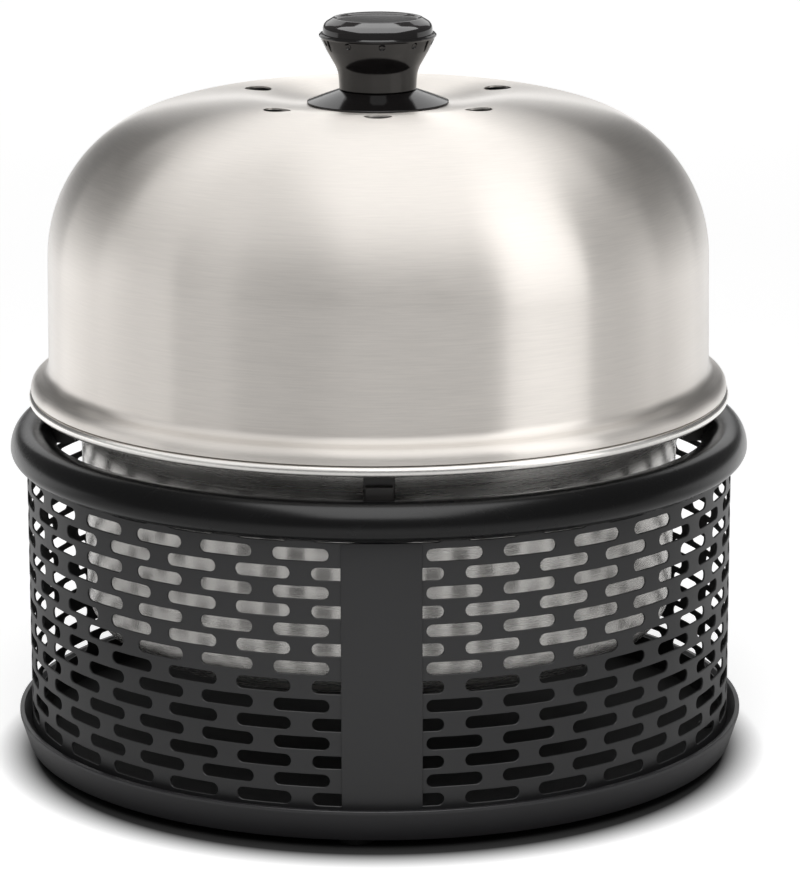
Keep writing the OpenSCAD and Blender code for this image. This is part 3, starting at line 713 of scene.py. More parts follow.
def turned_lines():
    """Fine lines that run round the upright axis, as brushing and turning leave them, and slow drift."""
    tree, wiring, given = shader_group("Turned lines", {
        "Place": "NodeSocketVector", "Lines per metre": "NodeSocketFloat", "Breaks": "NodeSocketFloat"},
        ("Lines", "Drift"))
    if wiring:
        x, y, z = wiring.add("ShaderNodeSeparateXYZ", {0: given["Place"]}).outputs[:3]
        out = wiring.math("SQRT", wiring.plus(wiring.times(x, x), wiring.times(y, y)))
        ahead = wiring.over(x, wiring.math("MAXIMUM", out, 1e-6))
        aside = wiring.over(y, wiring.math("MAXIMUM", out, 1e-6))
        made = []
        for rate, breaks, detail in ((1.0, 1.0, 3.0), (0.025, 0.35, 1.0)):
            fine = wiring.times(given["Lines per metre"], rate)
            turn = wiring.times(given["Breaks"], breaks)
            made.append(wiring.out("ShaderNodeTexNoise", {
                "Vector": wiring.vector(wiring.times(out, fine), wiring.times(z, fine),
                                        wiring.times(ahead, turn)),
                "W": wiring.times(aside, turn), "Scale": 1.0, "Detail": detail, "Roughness": 0.6},
                noise_dimensions="4D"))
        wiring.add("NodeGroupOutput", {"Lines": made[0], "Drift": made[1]})
    return tree


def surface_grain():
    """Fine pits of a moulded or coated surface, slow mottle, and faint scuffs."""
    tree, wiring, given = shader_group("Surface grain", {
        "Place": "NodeSocketVector", "Grain": "NodeSocketFloat", "Mottle": "NodeSocketFloat"},
        ("Pits", "Mottle", "Scuffs"))
    if wiring:
        pits = wiring.out("ShaderNodeTexNoise", {
            "Vector": given["Place"], "Scale": given["Grain"], "Detail": 2.0, "Roughness": 0.55})
        mottle = wiring.out("ShaderNodeTexNoise", {
            "Vector": given["Place"], "Scale": given["Mottle"], "Detail": 4.0, "Roughness": 0.6})
        long = wiring.out("ShaderNodeMapping",
            {0: given["Place"], "Rotation": (0.4, 0.2, 0.9), "Scale": (30.0, 900.0, 240.0)})
        line = wiring.out("ShaderNodeTexNoise", {"Vector": long, "Scale": 1.0, "Detail": 2.0})
        scuffs = wiring.out("ShaderNodeMapRange", {0: line, 1: 0.62, 2: 0.78, 3: 0.0, 4: 1.0})
        wiring.add("NodeGroupOutput", {"Pits": pits, "Mottle": mottle, "Scuffs": scuffs})
    return tree


def new_finish(name):
    """A material with its shader, its wiring and its object coordinates."""
    finish = bpy.data.materials.new(name)
    finish.use_nodes = True
    wiring = Wiring(finish.node_tree)
    shader = finish.node_tree.nodes["Principled BSDF"]
    place = wiring.add("ShaderNodeTexCoord").outputs["Object"]
    return finish, wiring, shader, place


def between(wiring, value, start, end, low=0.3, high=0.7):
    """A value spread from one level to another."""
    return wiring.out("ShaderNodeMapRange", {0: value, 1: low, 2: high, 3: start, 4: end})


def toned(wiring, colour, value, spread):
    """A colour made darker and lighter by a value."""
    dark = [c * (1 - spread) for c in colour] + [1.0]
    light = [min(1.0, c * (1 + spread)) for c in colour] + [1.0]
    return wiring.add("ShaderNodeMix", {0: value, 6: dark, 7: light}, data_type="RGBA").outputs[2]


def roughen(wiring, shader, height, strength, depth):
    """Feeds a bump to the shader."""
    bump = wiring.add("ShaderNodeBump", {"Strength": strength, "Distance": depth, "Height": height})
    wiring.tree.links.new(bump.outputs[0], shader.inputs["Normal"])


def steel(name, colour, lines, breaks, rough, stretch=0.0, tone=0.05, bump=0.05):
    """Turned, brushed or polished steel."""
    finish, wiring, shader, place = new_finish(name)
    turned_by = wiring.add("ShaderNodeGroup", node_tree=turned_lines())
    wiring.tree.links.new(place, turned_by.inputs["Place"])
    turned_by.inputs["Lines per metre"].default_value = lines
    turned_by.inputs["Breaks"].default_value = breaks
    fine, drift = turned_by.outputs["Lines"], turned_by.outputs["Drift"]
    both = wiring.times_plus(drift, 0.35, wiring.times(fine, 0.65))
    link = wiring.tree.links.new
    link(toned(wiring, colour, between(wiring, both, 0.0, 1.0), tone), shader.inputs["Base Color"])
    link(between(wiring, both, rough[0], rough[1]), shader.inputs["Roughness"])
    shader.inputs["Metallic"].default_value = 1.0
    if stretch:
        shader.inputs["Anisotropic"].default_value = stretch
        shader.inputs["Anisotropic Rotation"].default_value = 0.25
        link(wiring.out("ShaderNodeTangent", direction_type="RADIAL", axis="Z"), shader.inputs["Tangent"])
    roughen(wiring, shader, fine, bump, 0.02 * MM)
    return finish


def moulding(name, colour, rough, grain=1600.0, mottle=14.0, bump=0.08, tone=0.12, level=0.5, scuffed=0.05,
             inside=0.0):
    """Moulded plastic, rubber or coating, left dull and given painted shade, a darker colour, inside a
    radius.
    """
    finish, wiring, shader, place = new_finish(name)
    grained = wiring.add("ShaderNodeGroup", node_tree=surface_grain())
    wiring.tree.links.new(place, grained.inputs["Place"])
    grained.inputs["Grain"].default_value = grain
    grained.inputs["Mottle"].default_value = mottle
    link = wiring.tree.links.new
    shade = toned(wiring, colour, between(wiring, grained.outputs["Mottle"], 0.0, 1.0), tone)
    dull = between(wiring, grained.outputs["Mottle"], rough[0], rough[1])
    dull = wiring.times_plus(grained.outputs["Scuffs"], scuffed, dull)
    # Painted shade: inside the radius the colour falls to 0.3 of itself, and the surface is also made
    # rougher.
    if inside:
        x, y = wiring.add("ShaderNodeSeparateXYZ", {0: place}).outputs[:2]
        out = wiring.plus(wiring.times(x, x), wiring.times(y, y))
        in_painted_shade = wiring.math("LESS_THAN", out, inside ** 2)
        shade = wiring.add("ShaderNodeMix", {0: in_painted_shade, 6: shade, 7: (*(0.3 * c for c in colour), 1)},
            data_type="RGBA").outputs[2]
        dull = wiring.times_plus(in_painted_shade, 0.5, dull)
    link(shade, shader.inputs["Base Color"])
    link(dull, shader.inputs["Roughness"])
    shader.inputs["Specular IOR Level"].default_value = level
    roughen(wiring, shader, grained.outputs["Pits"], bump, 0.03 * MM)
    return finish


# Operators ------------------------------------------------------------------------------------


class GRILL_OT_make_stage(bpy.types.Operator):
    """Makes the pale floor, the soft studio light and the camera"""

    bl_idname = "grill.make_stage"
    bl_label = "Stage"

    def soft_box(self, name, size, place, aim, power, only=(), but=()):
        """A soft box that lights everything, only the named pieces, or all but the named pieces."""
        lamp = bpy.data.lights.new(name, "AREA")
        lamp.shape, lamp.size, lamp.size_y = "RECTANGLE", size[0], size[1]
        lamp.energy = power
        box = bpy.data.objects.new(name, lamp)
        bpy.context.scene.collection.objects.link(box)
        box.location = place
        box.rotation_euler = (Vector(aim) - Vector(place)).to_track_quat("-Z", "Y").to_euler()
        box.visible_camera = False
        if only or but:
            chosen = bpy.data.collections.new(name)
            for piece in only or but:
                chosen.objects.link(bpy.data.objects[piece])
            for item in chosen.collection_objects:
                item.light_linking.link_state = "INCLUDE" if only else "EXCLUDE"
            box.light_linking.receiver_collection = chosen

    def execute(self, context):
        scene, studio, base = context.scene, context.scene.grill_studio, context.scene.grill_base
        far = 40
        floor = new_piece("studio_floor", [(-far, -far, 0), (far, -far, 0), (far, far, 0), (-far, far, 0)],
            [(0, 1, 2, 3)])
        finish, wiring, shader, place = new_finish("Pale floor")
        cloud = wiring.out("ShaderNodeTexNoise", {"Vector": place, "Scale": 3.0, "Detail": 3.0})
        # Painted contact shadow: round the tray's footprint, shifted towards the camera, the floor's colour
        # is mixed to dark grey and its glow fades out.
        shadow_shift, shadow_in, shadow_out = 9.5 * MM, 8 * MM, 11 * MM
        nearer = wiring.add("ShaderNodeVectorMath", {0: place, 1: (0, shadow_shift, 0)},
            operation="ADD").outputs["Vector"]
        away = wiring.add("ShaderNodeVectorMath", {0: nearer}, operation="LENGTH").outputs["Value"]
        clear = between(wiring, away, 0.0, 1.0, base.lip_radius - shadow_in, base.lip_radius + shadow_out)
        pale = toned(wiring, scene.grill_finishes.floor, cloud, 0.01)
        wiring.tree.links.new(wiring.add("ShaderNodeMix", {
            0: clear, 6: (0.04, 0.04, 0.04, 1), 7: pale}, data_type="RGBA").outputs[2],
            shader.inputs["Base Color"])
        shader.inputs["Roughness"].default_value = 0.75
        shader.inputs["Specular IOR Level"].default_value = 0.2
        # Painted reflection: the floor behind the grill glows for glossy rays only, so the steel reflects a
        # brighter floor there.
        path = wiring.add("ShaderNodeLightPath").outputs
        depth = wiring.add("ShaderNodeSeparateXYZ", {0: place}).outputs["Y"]
        behind = between(wiring, depth, 0.0, 0.6, 0.05, 0.45)
        glow_seen_in_reflections = wiring.times(path["Is Glossy Ray"], behind)
        glow = wiring.times_plus(path["Is Camera Ray"], studio.floor_glow, glow_seen_in_reflections)
        shader.inputs["Emission Color"].default_value = (1, 1, 1, 1)
        # The painted shadow also takes the floor's glow away near the tray.
        wiring.tree.links.new(wiring.times(glow, clear), shader.inputs["Emission Strength"])
        floor.data.materials.append(finish)

        world = bpy.data.worlds.new("Studio room")
        world.use_nodes = True
        room = world.node_tree.nodes["Background"]
        room.inputs["Color"].default_value = (1, 1, 1, 1)
        room.inputs["Strength"].default_value = studio.room
        scene.world = world
        steel, cap = ("brushed_lid", "polished_bowl"), ("knob_cap_cover",)
        self.soft_box("ceiling_box", (1.4, 2.1), (0.03, -1.15, 1.5), (0.03, -1.149, 0), studio.ceiling,
            but=steel + cap)
        self.soft_box("cap_box", (4.0, 3.0), (0, -0.9, 1.5), (0, -0.899, 0), 4.4 * studio.ceiling, cap)
        self.soft_box("back_box", (4.0, 2.0), (0, 2.6, 1.6), (0, 0.9, 0), studio.backdrop, but=steel)
        self.soft_box("dome_box", (3.9, 3.3), (-0.35, -0.75, 1.55), (-0.35, -0.749, 0), studio.dome, steel)
        self.soft_box("dome_core", (1.5, 2.6), (0.35, -0.9, 1.5), (0.35, -0.899, 0), 0.17 * studio.dome,
            steel)
        self.soft_box("crown_box", (2.6, 1.2), (0, 1.6, 2.0), (0, 0, 0.3), 0.3 * studio.dome, steel)
        self.soft_box("strip_box", (0.94, 1.5), (1.32, -0.85, 0.75), (0, 0, 0.2), studio.strip, steel)
        self.soft_box("back_card", (0.95, 2.4), (0, 2.4, 1.2), (0, 0, 1.2), 1.6 * studio.sides, steel)
        for side, name, box, card, sweep in ((-1, "left", 0.86, 1.3, 1.15), (1, "right", 0.85, 0.7, 0.6)):
            self.soft_box(f"{name}_box", (2.4, 1.6), (2 * side, -0.4, 0.7), (0, 0, 0.2), box * studio.sides,
                steel)
            self.soft_box(f"{name}_card", (1.8, 3.2), (1.3 * side, 0.6, 0.02), (1.3 * side, 0.601, 1),
                card * studio.sides, steel)
            self.soft_box(f"{name}_sweep", (3.4, 0.5), (2.4 * side, 0.9, 0.25), (0, 0.9, 0.25),
                sweep * studio.sides, steel)

        lens = bpy.data.cameras.new("photo_camera")
        lens.sensor_fit, lens.sensor_height, lens.lens = "VERTICAL", 36, studio.lens
        lens.clip_start, lens.clip_end = 0.05, 50
        camera = bpy.data.objects.new("photo_camera", lens)
        scene.collection.objects.link(camera)
        pan, tilt, roll = studio.camera_pan, studio.camera_tilt, studio.camera_roll
        ahead = Vector((math.sin(pan) * math.cos(tilt), math.cos(pan) * math.cos(tilt), -math.sin(tilt)))
        right = Vector((math.cos(pan), -math.sin(pan), 0))
        up = right.cross(ahead)
        right, up = (math.cos(roll) * right + math.sin(roll) * up,
            math.cos(roll) * up - math.sin(roll) * right)
        camera.matrix_world = Matrix.Translation((0, -studio.camera_distance, studio.camera_height)) @ Matrix(
            (right, up, -ahead)).transposed().to_4x4()
        scene.camera = camera
        scene.view_settings.view_transform = "Standard"
        scene.view_settings.look = "None"
        return {"FINISHED"}


class GRILL_OT_make_feet(bpy.types.Operator):
    """Makes the rubber feet and the pins that hold them to the tray"""

    bl_idname = "grill.make_feet"
    bl_label = "Feet and pins"

    def execute(self, context):
        base, colours = context.scene.grill_base, context.scene.grill_finishes
        r, pin, top = base.foot_radius, base.pin_radius, base.tray_low
        spot = (0, -base.foot_circle)
        copies = tree_of_copies()
        foot = turned("rubber_foot_ring", rounded([
            (pin + 0.1 * MM, 1.6 * MM), (pin + 2.2 * MM, 1.6 * MM), (pin + 2.2 * MM, 0, 0.3 * MM),
            (r - 0.4 * MM, 0, 0.8 * MM), (r, top, 0.3 * MM), (pin + 0.1 * MM, top)]), 64, spot)
        grown(foot, copies, Count=base.foot_count, Turn=base.foot_turn,
              Finish=moulding("Foot rubber", colours.rubber, (0.62, 0.8), 1200.0, 60.0, 0.2, 0.2, 0.3, 0.1))
        settle(smooth(foot), "base", "rubber", "rubber_feet")
        floor = base.shell_low
        peg = turned("foot_push_pins", rounded([
            (0, 0.5 * MM), (pin + 2 * MM, 0.5 * MM, 0.3 * MM), (pin + 2 * MM, 1.6 * MM), (pin, 1.6 * MM),
            (pin, floor + 0.2 * MM), (pin + 1 * MM, floor + 0.2 * MM, 0.15 * MM),
            (pin, floor + 2 * MM, 0.5 * MM),
            (0, floor + 2 * MM)]), 48, spot)
        grown(peg, copies, Count=base.foot_count, Turn=base.foot_turn,
              Finish=moulding("Pin plastic", (0.03, 0.03, 0.03), (0.4, 0.55), 1500.0, 80.0, 0.1))
        settle(smooth(peg), "base", "pin_plastic", "foot_pins")
        return {"FINISHED"}


class GRILL_OT_make_tray(bpy.types.Operator):
    """Makes the round tray with its flared lip and the channel for the shell"""

    bl_idname = "grill.make_tray"
    bl_label = "Tray"

    def execute(self, context):
        base, colours = context.scene.grill_base, context.scene.grill_finishes
        lowest, top, floor, wall = base.tray_low, base.tray_top, base.shell_low, base.tray_radius
        flare = top - 5 * MM
        inner = base.lip_radius - 2 * MM
        outer_side = base.shell_radius + PLAY
        inner_side = base.shell_radius - base.shell_sheet - PLAY
        stand = floor + 6.5 * MM
        tray = turned("moulded_tray", rounded([
            (0, lowest), (wall, lowest, 0.7 * MM), (base.lip_radius, top - 1.4 * MM, 0.5 * MM),
            (base.lip_radius, top, 0.55 * MM), (inner, top, 0.55 * MM),
            (outer_side, flare + 1 * MM, 0.8 * MM),
            (outer_side, floor), (inner_side, floor), (inner_side, stand, 0.5 * MM),
            (inner_side - 2 * MM, stand, 0.5 * MM), (inner_side - 2 * MM, floor, 0.8 * MM), (0, floor)]), 256)
        # Inside the shell the tray's colour is darkened by its finish: painted shade.
        settle(smooth(tray), "base", "tray_plastic", "base_tray",
               finish=moulding("Tray plastic", colours.tray_plastic, (0.36, 0.46), 1400.0, 10.0, 0.10, 0.1,
                               0.7, 0.06, inner_side))
        return {"FINISHED"}


class GRILL_OT_make_shell(bpy.types.Operator):
    """Makes the shell with its staggered rows of slots"""

    bl_idname = "grill.make_shell"
    bl_label = "Slotted shell"

    def slot_cell(self, base):
        """One cell of the sheet, flat, with its slot; the outside is at y = 0 and the inside behind it."""
        half = math.pi * base.shell_radius / base.slot_columns
        tall = base.row_pitch / 2
        edge = [(half, 0), (half, tall / 2), (half, tall), (half * 2 / 3, tall), (half / 3, tall), (0, tall)]
        edge += [(-x, z) for x, z in edge[-2::-1]]
        edge += [(x, -z) for x, z in edge[-2:0:-1]]

        def slot(grow):
            r = base.slot_width / 2 + grow
            flat = (base.slot_length - base.slot_width) / 2
            turns = [0, 22.5, 45, 67.5, 90]
            path = [(flat + r * math.cos(math.radians(t)), r * math.sin(math.radians(t))) for t in turns]
            path += [(0, r)]
            path += [(-x, z) for x, z in path[-2::-1]]
            return path + [(x, -z) for x, z in path[-2:0:-1]]

        sheet, ease = base.shell_sheet, 0.18 * MM
        rings = [[(x, 0, z) for x, z in edge], [(x, 0, z) for x, z in slot(ease)],
            [(x, ease, z) for x, z in slot(0)],
                 [(x, sheet, z) for x, z in slot(0)], [(x, sheet, z) for x, z in edge]]
        count = len(edge)
        faces = []
        for a in range(4):
            for i in range(count):
                j = (i + 1) % count
                faces.append((a * count + i, a * count + j, (a + 1) * count + j, (a + 1) * count + i))
        return new_piece("slot_cell", sum(rings, []), faces)

    def plain_cell(self, base):
        """One cell of the sheet, flat, with no slot."""
        half = math.pi * base.shell_radius / base.slot_columns
        tall = base.row_pitch / 2
        corners, faces = [], []
        for y in (0, base.shell_sheet):
            start = len(corners)
            corners += [(half * (i / 3 - 1), y, tall * (k / 2 - 1)) for k in range(5) for i in range(7)]
            for k in range(4):
                for i in range(6):
                    a = start + 7 * k + i
                    quad = (a, a + 1, a + 8, a + 7)
                    faces.append(quad if y == 0 else quad[::-1])
        return new_piece("plain_cell", corners, faces)

    def execute(self, context):
        base, colours = context.scene.grill_base, context.scene.grill_finishes
        # The shell's inner face gets painted shade from its finish.
        finish = moulding("Slotted sheet coating", colours.shell_coating, (0.40, 0.50), 1900.0, 16.0, 0.10,
                          0.08, 0.65, 0.08, base.shell_radius - base.shell_sheet / 2)
        cells = [self.slot_cell(base), self.plain_cell(base)]
        for cell in cells:
            cell.data.materials.append(finish)
        shell = new_piece("slotted_shell", [(0, 0, 0)], [])
        grown(shell, tree_of_slots(), Slot_cell=cells[0], Plain_cell=cells[1], Columns=base.slot_columns,
              Rows=base.slot_rows, Row_pitch=base.row_pitch, First_row=base.first_row,
              Low_edge=base.shell_low,
              Top_edge=base.shell_top, Radius=base.shell_radius, Seam_lap=base.seam_lap, Finish=finish)
        for cell in cells:
            bpy.data.objects.remove(cell)
        made = bmesh.new()
        made.from_mesh(shell.data)
        for level in (base.shell_low, base.shell_top):
            rim = [e for e in made.edges if e.is_boundary and abs(e.verts[0].co.z - level) < 0.05 * MM]
            bmesh.ops.bridge_loops(made, edges=rim)
        bmesh.ops.recalc_face_normals(made, faces=made.faces)
        made.to_mesh(shell.data)
        made.free()
        settle(smooth(shell, 30), "base", "coated_steel", "perforated_shell", finish=finish)
        return {"FINISHED"}


class GRILL_OT_make_strap(bpy.types.Operator):
    """Makes the plain strap over the shell's seam"""

    bl_idname = "grill.make_strap"
    bl_label = "Seam strap"

    def execute(self, context):
        base, colours = context.scene.grill_base, context.scene.grill_finishes
        inside = base.shell_radius + 0.1 * MM
        outside = inside + base.strap_sheet
        half = math.asin(base.strap_half_width / outside)
        steps = 24
        corners, faces = [], []
        for k in range(steps + 1):
            a = base.strap_turn + half * (2 * k / steps - 1)
            for r, z in ((outside, low("seam_strap")), (outside, high("seam_strap")),
                (inside, high("seam_strap")), (inside, low("seam_strap"))):
                corners.append((r * math.sin(a), -r * math.cos(a), z))
        for k in range(steps):
            for i in range(4):
                j = (i + 1) % 4
                faces.append((4 * k + i, 4 * k + 4 + i, 4 * k + 4 + j, 4 * k + j))
        faces += [(0, 1, 2, 3), tuple(4 * steps + i for i in (3, 2, 1, 0))]
        strap = bevelled(new_piece("seam_cover_strap", corners, faces), 0.3 * MM)
        settle(smooth(strap), "base", "strap_steel", "seam_strap",
               finish=moulding("Strap coating", colours.strap_coating, (0.42, 0.5), 1900.0, 22.0, 0.10, 0.06,
                               0.5, 0.06))
        return {"FINISHED"}


class GRILL_OT_make_ring(bpy.types.Operator):
    """Makes the moulded ring that closes over the shell's upper edge"""

    bl_idname = "grill.make_ring"
    bl_label = "Top ring"

    def execute(self, context):
        base, colours = context.scene.grill_base, context.scene.grill_finishes
        lowest, top, middle = low("top_ring"), high("top_ring"), base.ring_widest
        groove = (base.shell_radius - base.shell_sheet - PLAY, base.shell_radius + PLAY)
        end, start = (-math.acos((r - base.ring_radius) / base.ring_outward) for r in groove)
        section = []
        for k in range(161):
            t = start + (end + math.tau - start) * k / 160
            width = base.ring_outward if math.cos(t) > 0 else base.ring_inward
            height = top - middle if math.sin(t) > 0 else middle - lowest
            section.append((base.ring_radius + width * math.cos(t), middle + height * math.sin(t)))
        section += [(groove[0], middle), (groove[1], middle)]
        ring = turned("moulded_ring", section, 256)
        circle = reach("lug_screws") - 2.5 * MM
        finish = moulding("Ring plastic", colours.ring_plastic, (0.22, 0.29), 1300.0, 9.0, 0.05, 0.15, 0.38,
            0.06)
        punched(ring, base.lug_count, 2.7 * MM, circle, lowest - 6.9 * MM, 20 * MM, finish)
        settle(smooth(ring), "base", "ring_plastic", "top_ring", finish=finish)
        return {"FINISHED"}


class GRILL_OT_make_lugs(bpy.types.Operator):
    """Makes the lugs that carry the bowl, and their screws"""

    bl_idname = "grill.make_lugs"
    bl_label = "Lugs and screws"

    def execute(self, context):
        base, bowl, colours = context.scene.grill_base, context.scene.grill_bowl, context.scene.grill_finishes
        foot = base.ring_widest
        back = bowl.bowl_radius + 2.5 * MM
        front = bowl.flange_radius - 1 * MM
        step = front + 4 * MM
        copies = tree_of_copies()
        half, narrow = base.lug_width / 2, base.lug_step_width / 2
        lug = bevelled(extruded("bowl_lug_blocks", [
            (-back, foot), (-front, foot), (-front, bowl.seat), (-back, bowl.seat)],
            (-half, half)), 0.6 * MM, 4)
        joined(lug, bevelled(extruded("lug_step", [
            (-front + 2 * MM, foot), (-step, foot), (-step, base.lug_step), (-front + 2 * MM, base.lug_step)],
            (-narrow, narrow)), 0.6 * MM, 4))
        grown(lug, copies, Count=base.lug_count, Turn=0.0, Finish=moulding(
            "Lug plastic", colours.lug_plastic, (0.3, 0.4), 1300.0, 40.0, 0.06, 0.2))
        settle(smooth(lug), "base", "lug_plastic", "bowl_lugs")
        head, tip = low("lug_screws"), high("lug_screws")
        screw = turned("lug_socket_screws", rounded([
            (0, head + 1.1 * MM), (1.1 * MM, head + 1.1 * MM), (1.1 * MM, head), (2.5 * MM, head, 1 * MM),
            (2.5 * MM, head + 2 * MM),
            (1.5 * MM, head + 2 * MM), (1.5 * MM, tip - 1 * MM), (0.9 * MM, tip), (0, tip)]), 36,
            (0, -(reach("lug_screws") - 2.5 * MM)))
        grown(screw, copies, Count=base.lug_count, Turn=0.0, Finish=steel(
            "Screw steel", colours.plain_steel, 3000.0, 4.0, (0.3, 0.42)))
        settle(smooth(screw), "base", "fastener_steel", "lug_screws")
        return {"FINISHED"}


class GRILL_OT_make_bowl(bpy.types.Operator):
    """Makes the polished bowl with its flange and rolled bead"""

    bl_idname = "grill.make_bowl"
    bl_label = "Bowl"

    def execute(self, context):
        bowl, colours = context.scene.grill_bowl, context.scene.grill_finishes
        outside = rounded([
            (0, bowl.bowl_low), (bowl.bowl_radius - bowl.bowl_taper, bowl.bowl_low, bowl.bowl_corner),
            (bowl.bowl_radius, bowl.seat, 2 * MM), (bowl.flange_radius, bowl.seat, 1.5 * MM),
            (bowl.bead_radius - 1 * MM, bowl.bead_height - 1.5 * MM)], 14)
        inside = beside(outside, bowl.sheet)
        bead = arc((bowl.bead_radius, bowl.bead_height), bowl.bead_roll, math.radians(-118),
            math.radians(196), 44)
        section = outside[:-1] + bead + inside[-2::-1]
        piece = turned("polished_bowl", section, 256)
        settle(smooth(piece), "bowl", "polished_steel", "inner_bowl", finish=steel(
            "Bowl steel", colours.bowl_steel, 900.0, 2.0, (0.22, 0.30), 0.75, 0.03, 0.02))
        return {"FINISHED"}


class GRILL_OT_make_firebox(bpy.types.Operator):
    """Makes the folded double wall of the firebox with its air holes"""

    bl_idname = "grill.make_firebox"
    bl_label = "Firebox"

    def execute(self, context):
        bowl, colours = context.scene.grill_bowl, context.scene.grill_finishes
        floor, top = bowl.bowl_low + bowl.sheet, bowl.firebox_top
        path = rounded([
            (bowl.firebox_inner, floor + 0.1 * MM), (bowl.firebox_inner + 1 * MM, top, 2 * MM),
            (bowl.firebox_outer - 1 * MM, top, 2 * MM), (bowl.firebox_outer, floor + bowl.sheet, 1.5 * MM),
            (bowl.firebox_outer + 5 * MM, floor + bowl.sheet)], 10)
        wall = turned("folded_firebox", path + beside(path, -bowl.sheet)[::-1], 192)
        finish = steel("Firebox steel", colours.plain_steel, 1100.0, 3.0, (0.28, 0.38), 0.4, 0.06)
        middle = (bowl.firebox_inner + bowl.firebox_outer) / 2
        punched(wall, bowl.air_holes, bowl.air_hole, middle, floor + 0.72 * (top - floor), 30 * MM, finish,
                sideways=True)
        settle(smooth(wall), "bowl", "firebox_steel", "firebox_wall", finish=finish)
        return {"FINISHED"}


class GRILL_OT_make_basket(bpy.types.Operator):
    """Makes the wire charcoal basket and its swinging handle"""

    bl_idname = "grill.make_basket"
    bl_label = "Charcoal basket"

    def ears(self, bowl):
        """The two upright ears that the handle swings in."""
        wide, hole, pivot = 4 * bowl.hoop_wire, bowl.hoop_wire + 0.1 * MM, bowl.bail_pivot
        foot = bowl.hoop_high - bowl.hoop_wire
        turns = [math.radians(15 * k) for k in range(13)]
        outline = [(wide * math.cos(t), pivot + wide * math.sin(t)) for t in turns]
        outline += [(-wide, foot + (pivot - foot) * k / 4) for k in (3, 2, 1, 0)]
        outline += [(-wide * (1 - k / 2), foot) for k in (1, 2, 3)]
        outline += [(wide, foot + (pivot - foot) * k / 4) for k in (0, 1, 2, 3)]
        bore = []
        for y, z in outline:
            t = math.atan2(z - pivot, y)
            bore.append((hole * math.cos(t), pivot + hole * math.sin(t)))
        pair = None
        for side in (-1, 1):
            middle = side * bowl.ear_reach
            ear = extruded("ear", outline, (middle - bowl.ear_sheet / 2, middle + bowl.ear_sheet / 2), bore)
            bevelled(ear, 0.25 * MM, 2, 60)
            pair = joined(pair, ear) if pair else ear
        pair.name = "wire_basket"
        return pair

    def execute(self, context):
        bowl, colours = context.scene.grill_bowl, context.scene.grill_finishes
        finish = steel("Basket wire", colours.wire_steel, 2600.0, 9.0, (0.26, 0.4), 0.0, 0.08)
        half_count = int((bowl.hoop_radius - 6 * MM) / bowl.floor_pitch)
        cage = grown(self.ears(bowl), tree_of_basket(), Hoop_radius=bowl.hoop_radius, Low_hoop=bowl.hoop_low,
                     High_hoop=bowl.hoop_high, Hoop_wire=bowl.hoop_wire, Cage_wire=bowl.cage_wire,
                     Uprights=bowl.uprights, Floor_wires=2 * half_count + 1, Floor_pitch=bowl.floor_pitch,
                     Finish=finish)
        settle(smooth(cage, 40), "basket", "wire_steel", "basket_cage", finish=finish)
        bend = 2 * bowl.hoop_wire
        pin_end = bowl.ear_reach - bowl.ear_sheet / 2 - 2 * MM
        loop = bowl.ear_reach + bowl.ear_sheet / 2 + PLAY + bend
        path = [(pin_end, 0)] + [
            (loop - bend + bend * math.sin(t), bend - bend * math.cos(t))
            for t in (math.radians(9 * k) for k in range(11))]
        path += [
            (loop * math.cos(t), bend + loop * math.sin(t))
            for t in (math.radians(2 * k) for k in range(1, 46))]
        path += [(-x, y) for x, y in path[-2::-1]]
        corners = [(x, y, bowl.bail_pivot) for x, y in path]
        bail = new_piece("basket_handle", corners, [], [(k, k + 1) for k in range(len(path) - 1)])
        grown(bail, tree_of_wire(), Wire_radius=bowl.hoop_wire, Finish=finish)
        settle(smooth(bail, 40), "bail", "wire_steel", "basket_bail", finish=finish)
        return {"FINISHED"}


class GRILL_OT_make_plate(bpy.types.Operator):
    """Makes the domed cooking plate with its drain holes"""

    bl_idname = "grill.make_plate"
    bl_label = "Cooking plate"

    def execute(self, context):
        bowl, colours = context.scene.grill_bowl, context.scene.grill_finishes
        edge = bowl.drain_circle - bowl.drain_hole - 1.5 * MM
        under = [(edge * k / 40,
            bowl.plate_low + bowl.plate_dome * math.cos(math.pi * k / 80) ** 2) for k in range(41)]
        under.append((bowl.plate_radius, bowl.plate_low))
        over = beside(under, bowl.plate_sheet)[::-1]
        section = under[:-1] + rounded([under[-2], (*under[-1], 0.6 * MM), (*over[0], 0.6 * MM), over[1]],
            5)[1:-1] + over[1:]
        plate = turned("domed_plate", section, 224)
        finish, wiring, shader, place = new_finish("Non-stick coating")
        lines = wiring.add("ShaderNodeGroup", {"Place": place, "Lines per metre": 420.0, "Breaks": 1.0},
            node_tree=turned_lines())
        grain = wiring.add("ShaderNodeGroup", {"Place": place, "Grain": 1500.0, "Mottle": 24.0},
            node_tree=surface_grain())
        link = wiring.tree.links.new
        link(toned(wiring, colours.nonstick, between(wiring, grain.outputs["Mottle"], 0, 1), 0.25),
            shader.inputs["Base Color"])
        link(between(wiring, grain.outputs["Mottle"], 0.42, 0.58), shader.inputs["Roughness"])
        height = wiring.times_plus(grain.outputs["Pits"], 0.6, lines.outputs["Lines"])
        roughen(wiring, shader, height, 0.2, 0.06 * MM)
        punched(plate, bowl.drain_holes, bowl.drain_hole, bowl.drain_circle, bowl.plate_low, 20 * MM, finish)
        settle(smooth(plate), "plate", "nonstick", "grill_plate", finish=finish)
        return {"FINISHED"}


